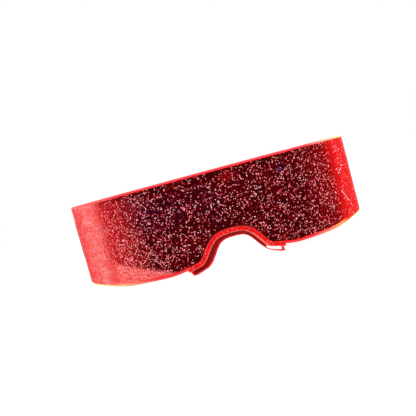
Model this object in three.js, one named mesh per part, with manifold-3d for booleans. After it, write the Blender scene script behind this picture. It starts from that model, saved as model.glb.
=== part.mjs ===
// Light-up visor: a U-bent acrylic lens with a glitter film behind it, a soft pad on its nose notch,
// a battery and light box on each end and a folding arm behind each box.
// Millimetres. The front faces -Y, the arms point to +Y and +Z is up. Left and right are the wearer's,
// with +X on the left. The visor stands on its nose pad and its ear tips.
import * as THREE from 'three';
import { mergeVertices } from 'three/addons/utils/BufferGeometryUtils.js';
import Module from 'manifold-3d';

const wasm = await Module();
wasm.setup();

// Fits
const clearance = 0.3;
const slackClearance = 0.1;
const fuseOverlap = 0.1;
const edgeProbe = 0.1;
const cutOverrun = 1;

// Lens
const lensWidth = 156;
const lensHeight = 48;
const lensThickness = 3;
const frontRadius = 106.5;
const cornerRadius = 14;
const cornerRise = 6;
const riseRun = 25;
const riseGrowthShare = 1.5;
const tailRun = 21.5;
const tailSlopeRun = 12;
const tailHeight = 18;
const tailDrop = 10;
const pegHoleRadius = 1.8;

// Nose notch: an arch on a low flared foot
const notchArchHeight = 9.5;
const notchFootHeight = 6.2;
const notchArchHalf = 19.3;
const notchHalf = 37.5;
const archGrowthShare = 2;

// Glitter film
const filmThickness = 0.3;
const filmMargin = 0.8;
const filmNotchMargin = 1.7;
const filmMarginRun = 14;
const filmEndGap = 3.5;
const filmCornerRadius = 12;

// Nose pad
const padReach = 26;
const padWall = 0.9;
const padWeb = 0.8;
const padLipCover = 1.3;
const padBackCover = 1.3;
const padFlangeDrop = 4.4;
const padFlare = 1.6;
const padRimHeight = 0.8;
const padSlotLength = 7.3;
const padSlotEndGap = 1.2;
// Share of the reach along the notch, and share of the greatest flange drop there
const padFlangeShares = [[0, 0.88], [0.5, 0.85], [0.72, 0.85], [0.92, 0.98], [1, 0.88]];
// Share of the reach, the wearer's left positive, and share of the rim's greatest lean that way
const padLean = 2.4;
const padLeanShares = [[-1, 0], [-0.7, 0.62], [0.5, 0.58], [0.8, 0.92], [1, 1]];

// Light box
const boxLength = 38;
const boxHeight = 25;
const boxThickness = 8.5;
const boxOutset = 2;
const boxWall = 1.5;
const boxCornerRadius = 4;
const boxBevel = 0.8;
const coverThickness = 1.4;
const tailGrip = 7;
const pegRadius = 1.5;
const bossRadius = 1.8;

// Electronics
const boardThickness = 1;
const boardLength = 10.1;
const boardHeight = 14.6;
const boardRibWidth = 1.2;
const boardRibInset = 1.2;
const boardRibSpread = 11;
const ledDepth = 1.5;
const ledHeight = 3.2;
const ledPitch = 5.2;
const ledWindowDepth = 0.4;
const ledRim = 0.5;
const switchSize = 6;
const switchBodyHeight = 1.6;
const plungerRadius = 1.5;
const cellRadius = 6.25;
const cellThickness = 2;
const cellCanThickness = 1.6;
const cellCapRadius = 5.2;
const bayWall = 0.7;
const bayTopGap = 0.6;
const bayMouthShare = 0.5;
const contactThickness = 0.3;
const contactWidth = 3.2;
const contactSpread = 5.2;
const rimContactReach = 2.9;
const baseContactReach = 12;

// Button
const buttonLength = 6;
const buttonHeight = 4;
const buttonRadius = 1.6;
const buttonProud = 0.8;
const buttonFlange = 0.6;
const buttonLip = 0.6;
const buttonTravel = 0.5;
const buttonBevel = 0.3;

// Battery door
const doorFlange = 0.7;
const doorLedge = 0.7;
const doorEdgeGap = 0.7;
const doorScrewGap = 0.2;
const doorPadInset = 1.4;
const doorRadius = 2;

// Screws and pins
const screwRadius = 0.8;
const screwHeadRadius = 1.6;
const screwHeadHeight = 0.8;
const screwGrip = 4.5;
const screwPoint = 0.4;
const screwEdgeGap = 0.6;
const pinRadius = 1;
const pinHeadRadius = 1.8;
const pinHeadHeight = 0.8;
const headEdge = 0.4;

// Arm and ear tip
const barrelRadius = 3;
const knuckleHeight = 7;
const lugHeight = 3.5;
const hingeSetback = 0.3;
const armLength = 66;
const armThickness = 3.6;
const armRootHeight = 12;
const armWebRun = 6;
const armBendHeight = 6.8;
const armBevel = 0.7;
const tangHeight = 3.6;
const tangThickness = 1.8;
const tipHeight = 8.6;
const tipThickness = 5.4;
const tipBevel = 1.5;
// Shares of the way back from the hinge, and how fast the arm drops behind its bend
const armBendShare = 0.4;
const armBendGrowthShare = 1.7;
const tipStartShare = 0.62;
const tangEndShare = 0.92;

// How finely curves are cut
const notchStep = 1.2;
const frontStep = 3.4;
const cornerStep = 1.5;
const roundSides = 20;
const smallRoundSides = 12;
const outlineSteps = 24;
const cornerSteps = 3;
const bevelSteps = 2;
const headingProbeShare = 0.002;

// Places along the lens, measured on its outer face from the middle of the front
const halfWidth = lensWidth / 2;
const cornerSpan = frontRadius - cornerRadius;
const frontAngle = Math.asin((halfWidth - cornerRadius) / cornerSpan);
const frontArc = frontRadius * frontAngle;
const turnEnd = frontArc + cornerRadius * (Math.PI / 2 - frontAngle);
const tailEnd = turnEnd + tailRun;
const riseStart = frontArc - riseRun;
const tailBottom = lensHeight - tailDrop - tailHeight;
const filmEnd = frontArc - filmEndGap;
const turnDepth = frontRadius - cornerSpan * Math.cos(frontAngle);

const colours = {
  acrylic: { color: '#e3202a', roughness: 0.12, metalness: 0 },
  film: { color: '#3c0610', roughness: 0.35, metalness: 0.2 },
  silicone: { color: '#e01418', roughness: 0.45, metalness: 0 },
  plastic: { color: '#17171a', roughness: 0.4, metalness: 0 },
  softPlastic: { color: '#222226', roughness: 0.7, metalness: 0 },
  board: { color: '#123d22', roughness: 0.45, metalness: 0 },
  led: { color: '#f4ead2', roughness: 0.3, metalness: 0 },
  contact: { color: '#c9c3b2', roughness: 0.3, metalness: 1 },
  steel: { color: '#b9bcc2', roughness: 0.3, metalness: 1 },
};
const materials = Object.fromEntries(
  Object.entries(colours).map(([name, look]) => [name, new THREE.MeshStandardMaterial(look)]));

const acrossX = new THREE.Vector3(1, 0, 0);
const acrossY = new THREE.Vector3(0, 1, 0);
const acrossZ = new THREE.Vector3(0, 0, 1);

const clamp01 = (t) => THREE.MathUtils.clamp(t, 0, 1);
const ease = (t) => (1 - Math.cos(Math.PI * clamp01(t))) / 2;

// Even steps from one value to another, both ends included
function divide(from, to, step) {
  const count = Math.max(1, Math.ceil((to - from) / step));
  return Array.from({ length: count + 1 }, (_, index) => THREE.MathUtils.lerp(from, to, index / count));
}

// Value of a list of shares at t, eased from point to point
function shareAt(shares, t) {
  const next = Math.max(1, shares.findIndex(([place]) => place >= t));
  const [fromPlace, fromValue] = shares[next - 1];
  const [toPlace, toValue] = shares[next];
  return THREE.MathUtils.lerp(fromValue, toValue, ease((t - fromPlace) / (toPlace - fromPlace)));
}

// A closed, outward-facing copy of a geometry, with its shared corners merged
function closed(geometry) {
  const bare = geometry.clone();
  for (const name of Object.keys(bare.attributes)) {
    if (name !== 'position') bare.deleteAttribute(name);
  }
  const merged = mergeVertices(bare);
  const corners = merged.index.array;
  const position = merged.getAttribute('position');
  const faces = [];
  let volume = 0;
  const [a, b, c] = [new THREE.Vector3(), new THREE.Vector3(), new THREE.Vector3()];
  for (let at = 0; at < corners.length; at += 3) {
    const face = [corners[at], corners[at + 1], corners[at + 2]];
    if (new Set(face).size < 3) continue;
    a.fromBufferAttribute(position, face[0]);
    b.fromBufferAttribute(position, face[1]);
    c.fromBufferAttribute(position, face[2]);
    volume += a.dot(b.cross(c));
    faces.push(face);
  }
  merged.setIndex(faces.flatMap((face) => (volume < 0 ? face.reverse() : face)));
  merged.computeVertexNormals();
  return merged;
}

function toSolid(geometry) {
  const shape = closed(geometry);
  return new wasm.Manifold(new wasm.Mesh({
    numProp: 3,
    vertProperties: new Float32Array(shape.getAttribute('position').array),
    triVerts: new Uint32Array(shape.index.array),
  }));
}

function fromSolid(solid) {
  const mesh = solid.getMesh();
  const geometry = new THREE.BufferGeometry();
  geometry.setAttribute('position', new THREE.BufferAttribute(new Float32Array(mesh.vertProperties), 3));
  geometry.setIndex(new THREE.BufferAttribute(new Uint32Array(mesh.triVerts), 1));
  geometry.computeVertexNormals();
  return geometry;
}

function joined(first, ...others) {
  return fromSolid(others.reduce((solid, other) => solid.add(toSolid(other)), toSolid(first)));
}

function cut(body, ...tools) {
  return fromSolid(tools.reduce((solid, tool) => solid.subtract(toSolid(tool)), toSolid(body)));
}

// A block between two corners
function block(low, high) {
  const size = high.map((value, axis) => value - low[axis]);
  const centre = high.map((value, axis) => (value + low[axis]) / 2);
  return new THREE.BoxGeometry(...size).translate(...centre);
}

// A round bar along x from one place to another, its axis through y and z
function barX(radius, fromX, toX, y, z, sides = smallRoundSides) {
  return new THREE.CylinderGeometry(radius, radius, toX - fromX, sides)
    .rotateZ(-Math.PI / 2).translate((fromX + toX) / 2, y, z);
}

function barZ(radius, fromZ, toZ, x = 0, y = 0, sides = roundSides) {
  return new THREE.CylinderGeometry(radius, radius, toZ - fromZ, sides)
    .rotateX(Math.PI / 2).translate(x, y, (fromZ + toZ) / 2);
}

function roundedRectangle(lowY, highY, lowZ, highZ, radius) {
  return new THREE.Shape()
    .moveTo(lowY + radius, lowZ)
    .lineTo(highY - radius, lowZ)
    .absarc(highY - radius, lowZ + radius, radius, -Math.PI / 2, 0)
    .lineTo(highY, highZ - radius)
    .absarc(highY - radius, highZ - radius, radius, 0, Math.PI / 2)
    .lineTo(lowY + radius, highZ)
    .absarc(lowY + radius, highZ - radius, radius, Math.PI / 2, Math.PI)
    .lineTo(lowY, lowZ + radius)
    .absarc(lowY + radius, lowZ + radius, radius, Math.PI, Math.PI * 3 / 2);
}

// A flat outline in y and z, given thickness along x, with its outer edges rounded off by a bevel
function plateX(shape, fromX, toX, bevel = 0) {
  const geometry = new THREE.ExtrudeGeometry(shape, {
    depth: toX - fromX - 2 * bevel,
    bevelEnabled: bevel > 0,
    bevelThickness: bevel,
    bevelSize: bevel,
    bevelOffset: -bevel,
    bevelSegments: bevelSteps,
    curveSegments: cornerSteps,
  });
  geometry.applyMatrix4(new THREE.Matrix4().makeBasis(acrossY, acrossZ, acrossX));
  return geometry.translate(fromX + bevel, 0, 0);
}

// A turned piece: radius and height pairs from one end of its axis to the other, laid along x
function turnedX(profile, sides = smallRoundSides) {
  const points = profile.map(([radius, height]) => new THREE.Vector2(radius, height));
  return new THREE.LatheGeometry(points, sides).rotateZ(-Math.PI / 2);
}

// A strip of equal rings of points, closed by a cap at each end
function bandOf(rings, contour) {
  const ringSize = contour.length;
  const cap = THREE.ShapeUtils.triangulateShape(contour, []);
  const positions = rings.flatMap((ring) => ring.flatMap((point) => point.toArray()));
  const faces = [];
  for (let ring = 0; ring + 1 < rings.length; ring += 1) {
    for (let at = 0; at < ringSize; at += 1) {
      const here = ring * ringSize + at;
      const beside = ring * ringSize + (at + 1) % ringSize;
      faces.push(here, beside, here + ringSize, beside, beside + ringSize, here + ringSize);
    }
  }
  const last = (rings.length - 1) * ringSize;
  const clockwise = THREE.ShapeUtils.isClockWise(contour);
  for (const corners of cap) {
    const [a, b, c] = clockwise ? corners.reverse() : corners;
    faces.push(a, c, b, last + a, last + b, last + c);
  }
  const geometry = new THREE.BufferGeometry();
  geometry.setAttribute('position', new THREE.Float32BufferAttribute(positions, 3));
  geometry.setIndex(faces);
  return closed(geometry);
}

// Plan of the lens's outer face: a wide arc, a tight arc at the turn, then straight to the rear
function planAt(along) {
  if (along <= frontArc) {
    const heading = along / frontRadius;
    return { x: frontRadius * Math.sin(heading), y: frontRadius * (1 - Math.cos(heading)), heading };
  }
  const heading = Math.min(frontAngle + (along - frontArc) / cornerRadius, Math.PI / 2);
  const x = cornerSpan * Math.sin(frontAngle) + cornerRadius * Math.sin(heading);
  const y = turnDepth - cornerRadius * Math.cos(heading) + Math.max(along - turnEnd, 0);
  return { x, y, heading };
}

// Height of the lens's lower edge above its lowest stretch
function lowerEdge(along) {
  const out = Math.abs(along);
  if (out <= riseStart) {
    const arch = notchArchHeight * (1 - ease((out / notchArchHalf) ** archGrowthShare));
    return arch + notchFootHeight * (1 - ease(out / notchHalf));
  }
  const run = turnEnd - riseStart;
  if (out <= turnEnd) return cornerRise * ((out - riseStart) / run) ** riseGrowthShare;
  const past = clamp01((out - turnEnd) / tailSlopeRun);
  const slopeRise = tailSlopeRun * riseGrowthShare * cornerRise / run;
  const levels = THREE.MathUtils.lerp(cornerRise, tailBottom, past ** 2 * (3 - 2 * past));
  return levels + slopeRise * past * (1 - past) ** 2;
}

function upperEdge(along) {
  return lensHeight - tailDrop * ease((Math.abs(along) - turnEnd) / tailSlopeRun);
}

// Direction on the lens's face that points straight away from its lower edge
function awayFromEdge(along) {
  const slope = (lowerEdge(along + edgeProbe) - lowerEdge(along - edgeProbe)) / (2 * edgeProbe);
  return new THREE.Vector2(slope, -1).normalize();
}

function padDrop(along) {
  return padFlangeDrop * shareAt(padFlangeShares, Math.abs(along) / padReach);
}

// The pad's flange hangs below the lens, and the visor stands on it
const padUnder = clearance + padWeb;
const padStations = divide(-padReach, padReach, notchStep);
const lensLift = Math.max(...padStations.map(
  (along) => -awayFromEdge(along).y * padDrop(along) - lowerEdge(along)));

// Point at a place along the lens, at a height above its lowest edge and set in from its outer face
function facePoint(along, height, inset) {
  const { x, y, heading } = planAt(Math.abs(along));
  const outward = x - inset * Math.sin(heading);
  return new THREE.Vector3(
    along < 0 ? -outward : outward, y + inset * Math.cos(heading), lensLift + height);
}

function bothWays(places) {
  return [...places.slice(1).reverse().map((place) => -place), ...places];
}

// A rectangular strip of the lens's shape between two edges and two depths
function faceStrip(places, low, high, fromInset, toInset) {
  const corner = (at, edge, inset) => facePoint(at, edge(at), inset);
  const rings = places.map((at) => [
    corner(at, low, fromInset), corner(at, high, fromInset),
    corner(at, high, toInset), corner(at, low, toInset),
  ]);
  const contour = [[0, 0], [0, 1], [1, 1], [1, 0]].map(([x, y]) => new THREE.Vector2(x, y));
  return bandOf(rings, contour);
}

// Clear acrylic band, with a hole in each end for the peg of its light box
function lensGeometry() {
  const places = bothWays([
    ...divide(0, notchHalf, notchStep),
    ...divide(notchHalf, frontArc, frontStep).slice(1),
    ...divide(frontArc, turnEnd, cornerStep).slice(1),
    ...divide(turnEnd, turnEnd + tailSlopeRun, cornerStep).slice(1),
    tailEnd,
  ]);
  const band = faceStrip(places, lowerEdge, upperEdge, 0, lensThickness);
  const pegHole = barX(pegHoleRadius, -halfWidth - cutOverrun, halfWidth + cutOverrun, pegY, tailMidZ);
  return cut(band, pegHole);
}

// Lowest height that keeps a margin from the lens's lower edge, notch included
function clearOfEdge(along, margin) {
  const turns = divide(0, Math.PI, Math.PI / smallRoundSides);
  return Math.max(...turns.map(
    (turn) => lowerEdge(along + margin * Math.cos(turn)) + margin * Math.sin(turn)));
}

// Film on the lens's inner face, short of the turns, with its lower corners rounded
function filmGeometry() {
  const cornerStart = filmEnd - filmCornerRadius;
  const places = bothWays([
    ...divide(0, notchHalf + filmNotchMargin, notchStep),
    ...divide(notchHalf + filmNotchMargin, cornerStart, frontStep).slice(1),
    ...divide(cornerStart, filmEnd, cornerStep).slice(1),
  ]);
  const low = (along) => {
    const out = Math.abs(along);
    const pastNotch = ease((out - notchArchHalf) / filmMarginRun);
    const margin = THREE.MathUtils.lerp(filmNotchMargin, filmMargin, pastNotch);
    const intoCorner = Math.max(out - cornerStart, 0);
    const rounding = filmCornerRadius - Math.sqrt(Math.max(filmCornerRadius ** 2 - intoCorner ** 2, 0));
    return clearOfEdge(along, margin) + rounding;
  };
  const high = () => lensHeight - filmMargin;
  const inset = lensThickness + clearance;
  return faceStrip(places, low, high, inset, inset + filmThickness);
}

// Ring of the pad at one place: pairs of depth through the lens and distance away from its edge
function padRing(along, contour) {
  const away = awayFromEdge(along);
  const lean = padLean * shareAt(padLeanShares, along / padReach) / (padDrop(along) - padUnder);
  return contour.map(({ x: inset, y: reach }) => facePoint(
    along + away.x * reach + lean * Math.max(reach - padUnder, 0), lowerEdge(along) + away.y * reach, inset));
}

// Soft channel: a lip on the lens's face, a web under its edge and a flange that hangs down behind
function padGeometry() {
  const front = -clearance - padWall;
  const back = lensThickness + clearance;
  const profileAt = (drop) => [
    [front, -padLipCover], [-clearance, -padLipCover], [-clearance, clearance], [back, clearance],
    [back, -padBackCover], [back + padWall, -padBackCover], [back + padWall, padUnder],
    [back + padWall + padFlare, drop], [back + padFlare, drop], [back - padWall, padUnder], [front, padUnder],
  ].map(([inset, reach]) => new THREE.Vector2(inset, reach));
  const rings = padStations.map((along) => padRing(along, profileAt(padDrop(along))));
  const channel = bandOf(rings, profileAt(padFlangeDrop));
  const slotEnd = padReach - padSlotEndGap;
  const slotStations = divide(slotEnd - padSlotLength, slotEnd, notchStep);
  const slotProfile = (along) => {
    const rim = padDrop(along) - padRimHeight;
    return [[lensThickness - cutOverrun, padUnder], [lensThickness - cutOverrun, rim],
      [back + padWall + padFlare + cutOverrun, rim], [back + padWall + padFlare + cutOverrun, padUnder],
    ].map(([inset, reach]) => new THREE.Vector2(inset, reach));
  };
  const slotRings = slotStations.map((along) => padRing(along, slotProfile(along)));
  return cut(channel, bandOf(slotRings, slotProfile(slotStations[0])));
}

// Places in a light box, measured from the middle of its inner front edge:
// x outwards from the face beside the head, y to the rear, z up
const boxFrontY = turnDepth + tailRun - tailGrip;
const tailMidZ = lensLift + tailBottom + tailHeight / 2;
const pegSetback = tailGrip - boxWall - pegHoleRadius;
const pegY = boxFrontY + pegSetback;
const wallX = boxThickness - boxWall;
const tailOuterX = boxThickness - boxOutset;
const tailInnerX = tailOuterX - lensThickness;
const boxInside = boxHeight / 2 - boxWall;
const boardFrontY = tailGrip + clearance;
const switchY = boardFrontY + ledDepth + clearance + buttonLip + buttonLength / 2;
const bayRadius = cellRadius + clearance;
const bayY = boardFrontY + boardLength + clearance + bayWall + bayRadius;
const baseX = wallX - contactThickness;
const innerCellX = baseX - 2 * cellThickness;
const doorScrewY = bayY + bayRadius + bayWall + bossRadius + slackClearance;
const doorFrontY = bayY - bayRadius - doorLedge - doorEdgeGap;
const doorBackY = boxLength - doorEdgeGap - clearance;
const doorThickness = doorFlange + doorLedge;
const hingeX = coverThickness + barrelRadius;
const hingeY = boxLength + hingeSetback + barrelRadius;
const screwHoleRadius = screwRadius + clearance;
const screwRecessRadius = screwHeadRadius + clearance;
const boardRibOffsets = [-boardRibSpread / 2, boardRibSpread / 2];
const ledOffsets = { upper: ledPitch, middle: 0, lower: -ledPitch };
const caseScrewEdge = boxHeight / 2 - screwRecessRadius - screwEdgeGap;
const doorHalfHeight = caseScrewEdge - screwRecessRadius - clearance - doorScrewGap;
const openingHalf = doorHalfHeight - doorLedge;
const caseScrews = {
  front: { y: boardFrontY + boardLength / 2, z: caseScrewEdge },
  rear: { y: bayY, z: -caseScrewEdge },
};

const boxOutline = () => roundedRectangle(0, boxLength, -boxHeight / 2, boxHeight / 2, boxCornerRadius);
const wholeBox = () => plateX(boxOutline(), 0, boxThickness, boxBevel);

function buttonOutline(growth) {
  const halfLength = buttonLength / 2 + growth;
  const halfHeight = buttonHeight / 2 + growth;
  return roundedRectangle(
    switchY - halfLength, switchY + halfLength, -halfHeight, halfHeight, buttonRadius + growth);
}

// Hinge lug: a block behind the box with a round end
function lugGeometry(lowZ) {
  const web = block(
    [hingeX - barrelRadius, boxLength - boxWall, lowZ], [hingeX + barrelRadius, hingeY, lowZ + lugHeight]);
  return joined(web, barZ(barrelRadius, lowZ, lowZ + lugHeight, hingeX, hingeY));
}

// Outer half of the box: outer wall and rim, screw bosses, battery bay, lens peg and hinge lugs
function shellGeometry() {
  const reach = boxThickness + cutOverrun;
  const past = boxLength + cutOverrun;
  const side = boxHeight / 2 + cutOverrun;
  const coverSpace = block([-cutOverrun, -cutOverrun, -side], [coverThickness, past, side]);
  const hollow = plateX(roundedRectangle(
    boxWall, boxLength - boxWall, -boxInside, boxInside, boxCornerRadius - boxWall), -cutOverrun, wallX);
  const slotHalf = tailHeight / 2 + clearance;
  const tailSlot = block(
    [tailInnerX - clearance, -cutOverrun, -slotHalf],
    [tailOuterX + clearance, boxWall + cutOverrun, slotHalf]);
  const buttonHole = plateX(buttonOutline(clearance), wallX - cutOverrun, reach);
  const tray = cut(wholeBox(), coverSpace, hollow, tailSlot, buttonHole);

  const bayTop = coverThickness + bayTopGap;
  const bay = cut(
    barX(bayRadius + bayWall, bayTop, wallX + fuseOverlap, bayY, 0, roundSides),
    barX(bayRadius, bayTop - cutOverrun, wallX, bayY, 0, roundSides),
    block(
      [bayTop - cutOverrun, bayY - bayRadius - bayWall - cutOverrun, -contactSpread],
      [wallX, bayY - bayMouthShare * cellRadius, contactSpread]));
  const bossOf = ({ y, z }) => barX(bossRadius, coverThickness, wallX + fuseOverlap, y, z);
  const doorBoss = barX(bossRadius, doorThickness + slackClearance, wallX + fuseOverlap, doorScrewY, 0);
  const peg = barX(pegRadius, tailInnerX, wallX + fuseOverlap, pegSetback, 0);
  const lugBase = knuckleHeight / 2 + clearance;
  const lugs = [lugGeometry(lugBase), lugGeometry(-lugBase - lugHeight)];
  const whole = joined(tray, bay, ...Object.values(caseScrews).map(bossOf), doorBoss, peg, ...lugs);

  const pilotOf = ({ y, z }) => barX(screwHoleRadius, coverThickness - cutOverrun, wallX, y, z);
  const doorPilot = barX(screwHoleRadius, coverThickness - cutOverrun, wallX, doorScrewY, 0);
  const pinHole = barZ(pinRadius + clearance, -boxHeight / 2, boxHeight / 2, hingeX, hingeY, smallRoundSides);
  return cut(whole, ...Object.values(caseScrews).map(pilotOf), doorPilot, pinHole);
}

// Inner half of the box: a flat cover with the battery opening, its ledge and two ribs for the board
function coverGeometry() {
  const far = boxThickness + cutOverrun;
  const past = boxLength + cutOverrun;
  const side = boxHeight / 2 + cutOverrun;
  const plate = cut(wholeBox(), block([coverThickness, -cutOverrun, -side], [far, past, side]));
  const ledge = plateX(roundedRectangle(
    doorFrontY - clearance, doorBackY + clearance, -doorHalfHeight - clearance, doorHalfHeight + clearance,
    doorRadius + clearance), -cutOverrun, doorFlange);
  const opening = plateX(roundedRectangle(
    doorFrontY + doorLedge, doorBackY - doorLedge, -openingHalf, openingHalf, doorRadius), 0, far);
  const holes = Object.values(caseScrews).flatMap(({ y, z }) => [
    barX(screwHoleRadius, -cutOverrun, far, y, z),
    barX(screwRecessRadius, -cutOverrun, screwHeadHeight + slackClearance, y, z),
  ]);
  const ribs = boardRibOffsets.map((z) => block(
    [coverThickness - fuseOverlap, boardFrontY + boardRibInset, z - boardRibWidth / 2],
    [tailInnerX - boardThickness, boardFrontY + boardLength - boardRibInset, z + boardRibWidth / 2]));
  return joined(cut(plate, ledge, opening, ...holes), ...ribs);
}

// Hatch: a flange on the cover's ledge, a plug in the opening and a raised pad that holds the cells
function doorGeometry() {
  const inLedge = doorLedge + clearance;
  const flange = plateX(roundedRectangle(
    doorFrontY, doorBackY, -doorHalfHeight, doorHalfHeight, doorRadius), 0, doorFlange);
  const rim = openingHalf - clearance;
  const plug = plateX(
    roundedRectangle(doorFrontY + inLedge, doorBackY - inLedge, -rim, rim, doorRadius - clearance),
    doorFlange - fuseOverlap, doorThickness);
  const pad = barX(
    rim - doorPadInset, doorFlange - fuseOverlap, innerCellX - clearance, bayY, 0, roundSides);
  const screwHole = barX(screwHoleRadius, -cutOverrun, doorThickness + cutOverrun, doorScrewY, 0);
  const screwRecess = barX(
    screwRecessRadius, -cutOverrun, screwHeadHeight + slackClearance, doorScrewY, 0);
  return cut(joined(flange, plug, pad), screwHole, screwRecess);
}

// Pan-head screw along x, its head's top at x = 0
function screwGeometry() {
  const tip = screwHeadHeight + screwGrip;
  return closed(turnedX([
    [0, 0], [screwHeadRadius - headEdge, 0], [screwHeadRadius, headEdge],
    [screwHeadRadius, screwHeadHeight], [screwRadius, screwHeadHeight],
    [screwRadius, tip - screwPoint], [0, tip],
  ]));
}

// Button cell: a can with a smaller cap on the side away from the head
function cellGeometry() {
  return closed(turnedX([
    [0, 0], [cellRadius, 0], [cellRadius, cellCanThickness],
    [cellCapRadius, cellCanThickness], [cellCapRadius, cellThickness], [0, cellThickness],
  ], roundSides));
}

// Diode package with a sunk window on the side that faces the lens
function ledGeometry() {
  const half = ledHeight / 2;
  const window = half - ledRim;
  const body = block([0, 0, -half], [lensThickness, ledDepth, half]);
  const windowCut = block(
    [ledRim, -cutOverrun, -window], [lensThickness - ledRim, ledWindowDepth, window]);
  return cut(body, windowCut);
}

// Push switch: square body with a round plunger, just clear of the pressed button
function switchGeometry() {
  const half = switchSize / 2;
  const plungerTop = wallX - buttonFlange - buttonTravel - slackClearance - tailInnerX;
  return joined(
    block([0, -half, -half], [switchBodyHeight, half, half]),
    barX(plungerRadius, 0, plungerTop, 0, 0));
}

// Button cap with a flange that keeps it inside the wall
function buttonGeometry() {
  const flangeX = wallX - buttonFlange;
  const flange = plateX(buttonOutline(buttonLip), flangeX, wallX);
  const cap = plateX(buttonOutline(0), flangeX, boxThickness + buttonProud, buttonBevel);
  return joined(flange, cap);
}

// Bent strip from the board to the rim of the cells
function rimContactGeometry() {
  const standY = bayY - cellRadius - clearance - contactThickness;
  const lowZ = -contactSpread / 2 - contactWidth / 2;
  const highZ = lowZ + contactWidth;
  const footY = boardFrontY + boardLength - contactThickness - slackClearance;
  return joined(
    block([tailInnerX, footY, lowZ], [tailInnerX + contactThickness, standY + contactThickness, highZ]),
    block([tailInnerX, standY, lowZ], [tailInnerX + rimContactReach, standY + contactThickness, highZ]));
}

// Bent strip from the board to the base of the cells
function baseContactGeometry() {
  const legY = boardFrontY + boardLength - contactThickness - slackClearance;
  const lowZ = contactSpread / 2 - contactWidth / 2;
  const highZ = lowZ + contactWidth;
  return joined(
    block([tailInnerX, legY, lowZ], [wallX, legY + contactThickness, highZ]),
    block([baseX, legY, lowZ], [wallX, legY + baseContactReach, highZ]));
}

// Upright hinge pin with its head on the upper lug
function pinGeometry() {
  const half = knuckleHeight / 2 + clearance + lugHeight;
  const headTop = half + pinHeadHeight;
  const profile = [
    [0, -half], [pinRadius, -half], [pinRadius, half], [pinHeadRadius, half],
    [pinHeadRadius, headTop - headEdge], [pinHeadRadius - headEdge, headTop], [0, headTop],
  ].map(([radius, height]) => new THREE.Vector2(radius, height));
  return closed(new THREE.LatheGeometry(profile, smallRoundSides).rotateX(Math.PI / 2));
}

// Middle line of the arm, from the hinge axis to the middle of the ear tip's round end
const tipEndDrop = tailMidZ - tipHeight / 2;
const armStart = (barrelRadius + clearance + slackClearance) / armLength;
function armPoint(place) {
  const pastBend = Math.max(place - armBendShare, 0) / (1 - armBendShare);
  return new THREE.Vector2(place * armLength, -tipEndDrop * pastBend ** armBendGrowthShare);
}
function armHeading(place) {
  return armPoint(place + headingProbeShare).sub(armPoint(place - headingProbeShare)).normalize();
}

// Outline round a stretch of the arm's middle line, with a square or a round far end
function stripOutline(fromShare, toShare, halfHeightAt, roundEnd = false) {
  const places = divide(fromShare, toShare, 1 / outlineSteps);
  const sideOf = (hand) => places.map((place) => {
    const tangent = armHeading(place);
    const offset = new THREE.Vector2(-tangent.y, tangent.x).multiplyScalar(hand * halfHeightAt(place));
    return armPoint(place).add(offset);
  });
  const end = armPoint(toShare);
  const heading = armHeading(toShare).angle();
  const endStep = 2 * Math.PI / roundSides;
  const turns = roundEnd ? divide(-Math.PI / 2, Math.PI / 2, endStep).slice(1, -1) : [];
  const nose = turns.map((turn) => new THREE.Vector2(Math.cos(heading + turn), Math.sin(heading + turn))
    .multiplyScalar(halfHeightAt(toShare)).add(end));
  return new THREE.Shape([...sideOf(-1), ...nose, ...sideOf(1).reverse()]);
}

// Arm: a knuckle for the pin, a blade that tapers to the bend and a thin tang inside the ear tip
function armGeometry() {
  const half = armThickness / 2;
  const knuckleHalf = knuckleHeight / 2;
  const bladeHalf = (place) => THREE.MathUtils.lerp(
    armRootHeight, armBendHeight, ease((place - armStart) / (tipStartShare - armStart))) / 2;
  const blade = plateX(stripOutline(armStart, tipStartShare, bladeHalf), -half, half, armBevel);
  const tang = plateX(
    stripOutline(tipStartShare - armStart, tangEndShare, () => tangHeight / 2),
    -tangThickness / 2, tangThickness / 2);
  const web = block([-half, 0, -knuckleHalf], [half, armStart * armLength + armWebRun, knuckleHalf]);
  const knuckle = barZ(barrelRadius, -knuckleHalf, knuckleHalf);
  const pinHole = barZ(pinRadius + clearance, -armRootHeight, armRootHeight, 0, 0, smallRoundSides);
  return cut(joined(blade, tang, web, knuckle), pinHole);
}

// Soft sleeve with a round end, pushed on to the tang
function tipGeometry() {
  const seam = tipStartShare + clearance / armLength;
  const half = tipThickness / 2;
  const swell = (place) => THREE.MathUtils.lerp(
    armBendHeight, tipHeight, ease((place - tipStartShare) / (1 - tipStartShare))) / 2;
  const sleeve = plateX(stripOutline(seam, 1, swell, true), -half, half, tipBevel);
  const bore = plateX(
    stripOutline(tipStartShare - armStart, tangEndShare + clearance / armLength,
      () => tangHeight / 2 + clearance),
    -tangThickness / 2 - clearance, tangThickness / 2 + clearance);
  return cut(sleeve, bore);
}

// Mirror copy of a geometry, for the other side
function mirrored(geometry) {
  return closed(geometry.clone().scale(-1, 1, 1));
}

function addTo(group, name, geometry, material, place = [0, 0, 0]) {
  const mesh = new THREE.Mesh(geometry, material);
  mesh.name = name;
  mesh.position.set(...place);
  group.add(mesh);
}

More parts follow.
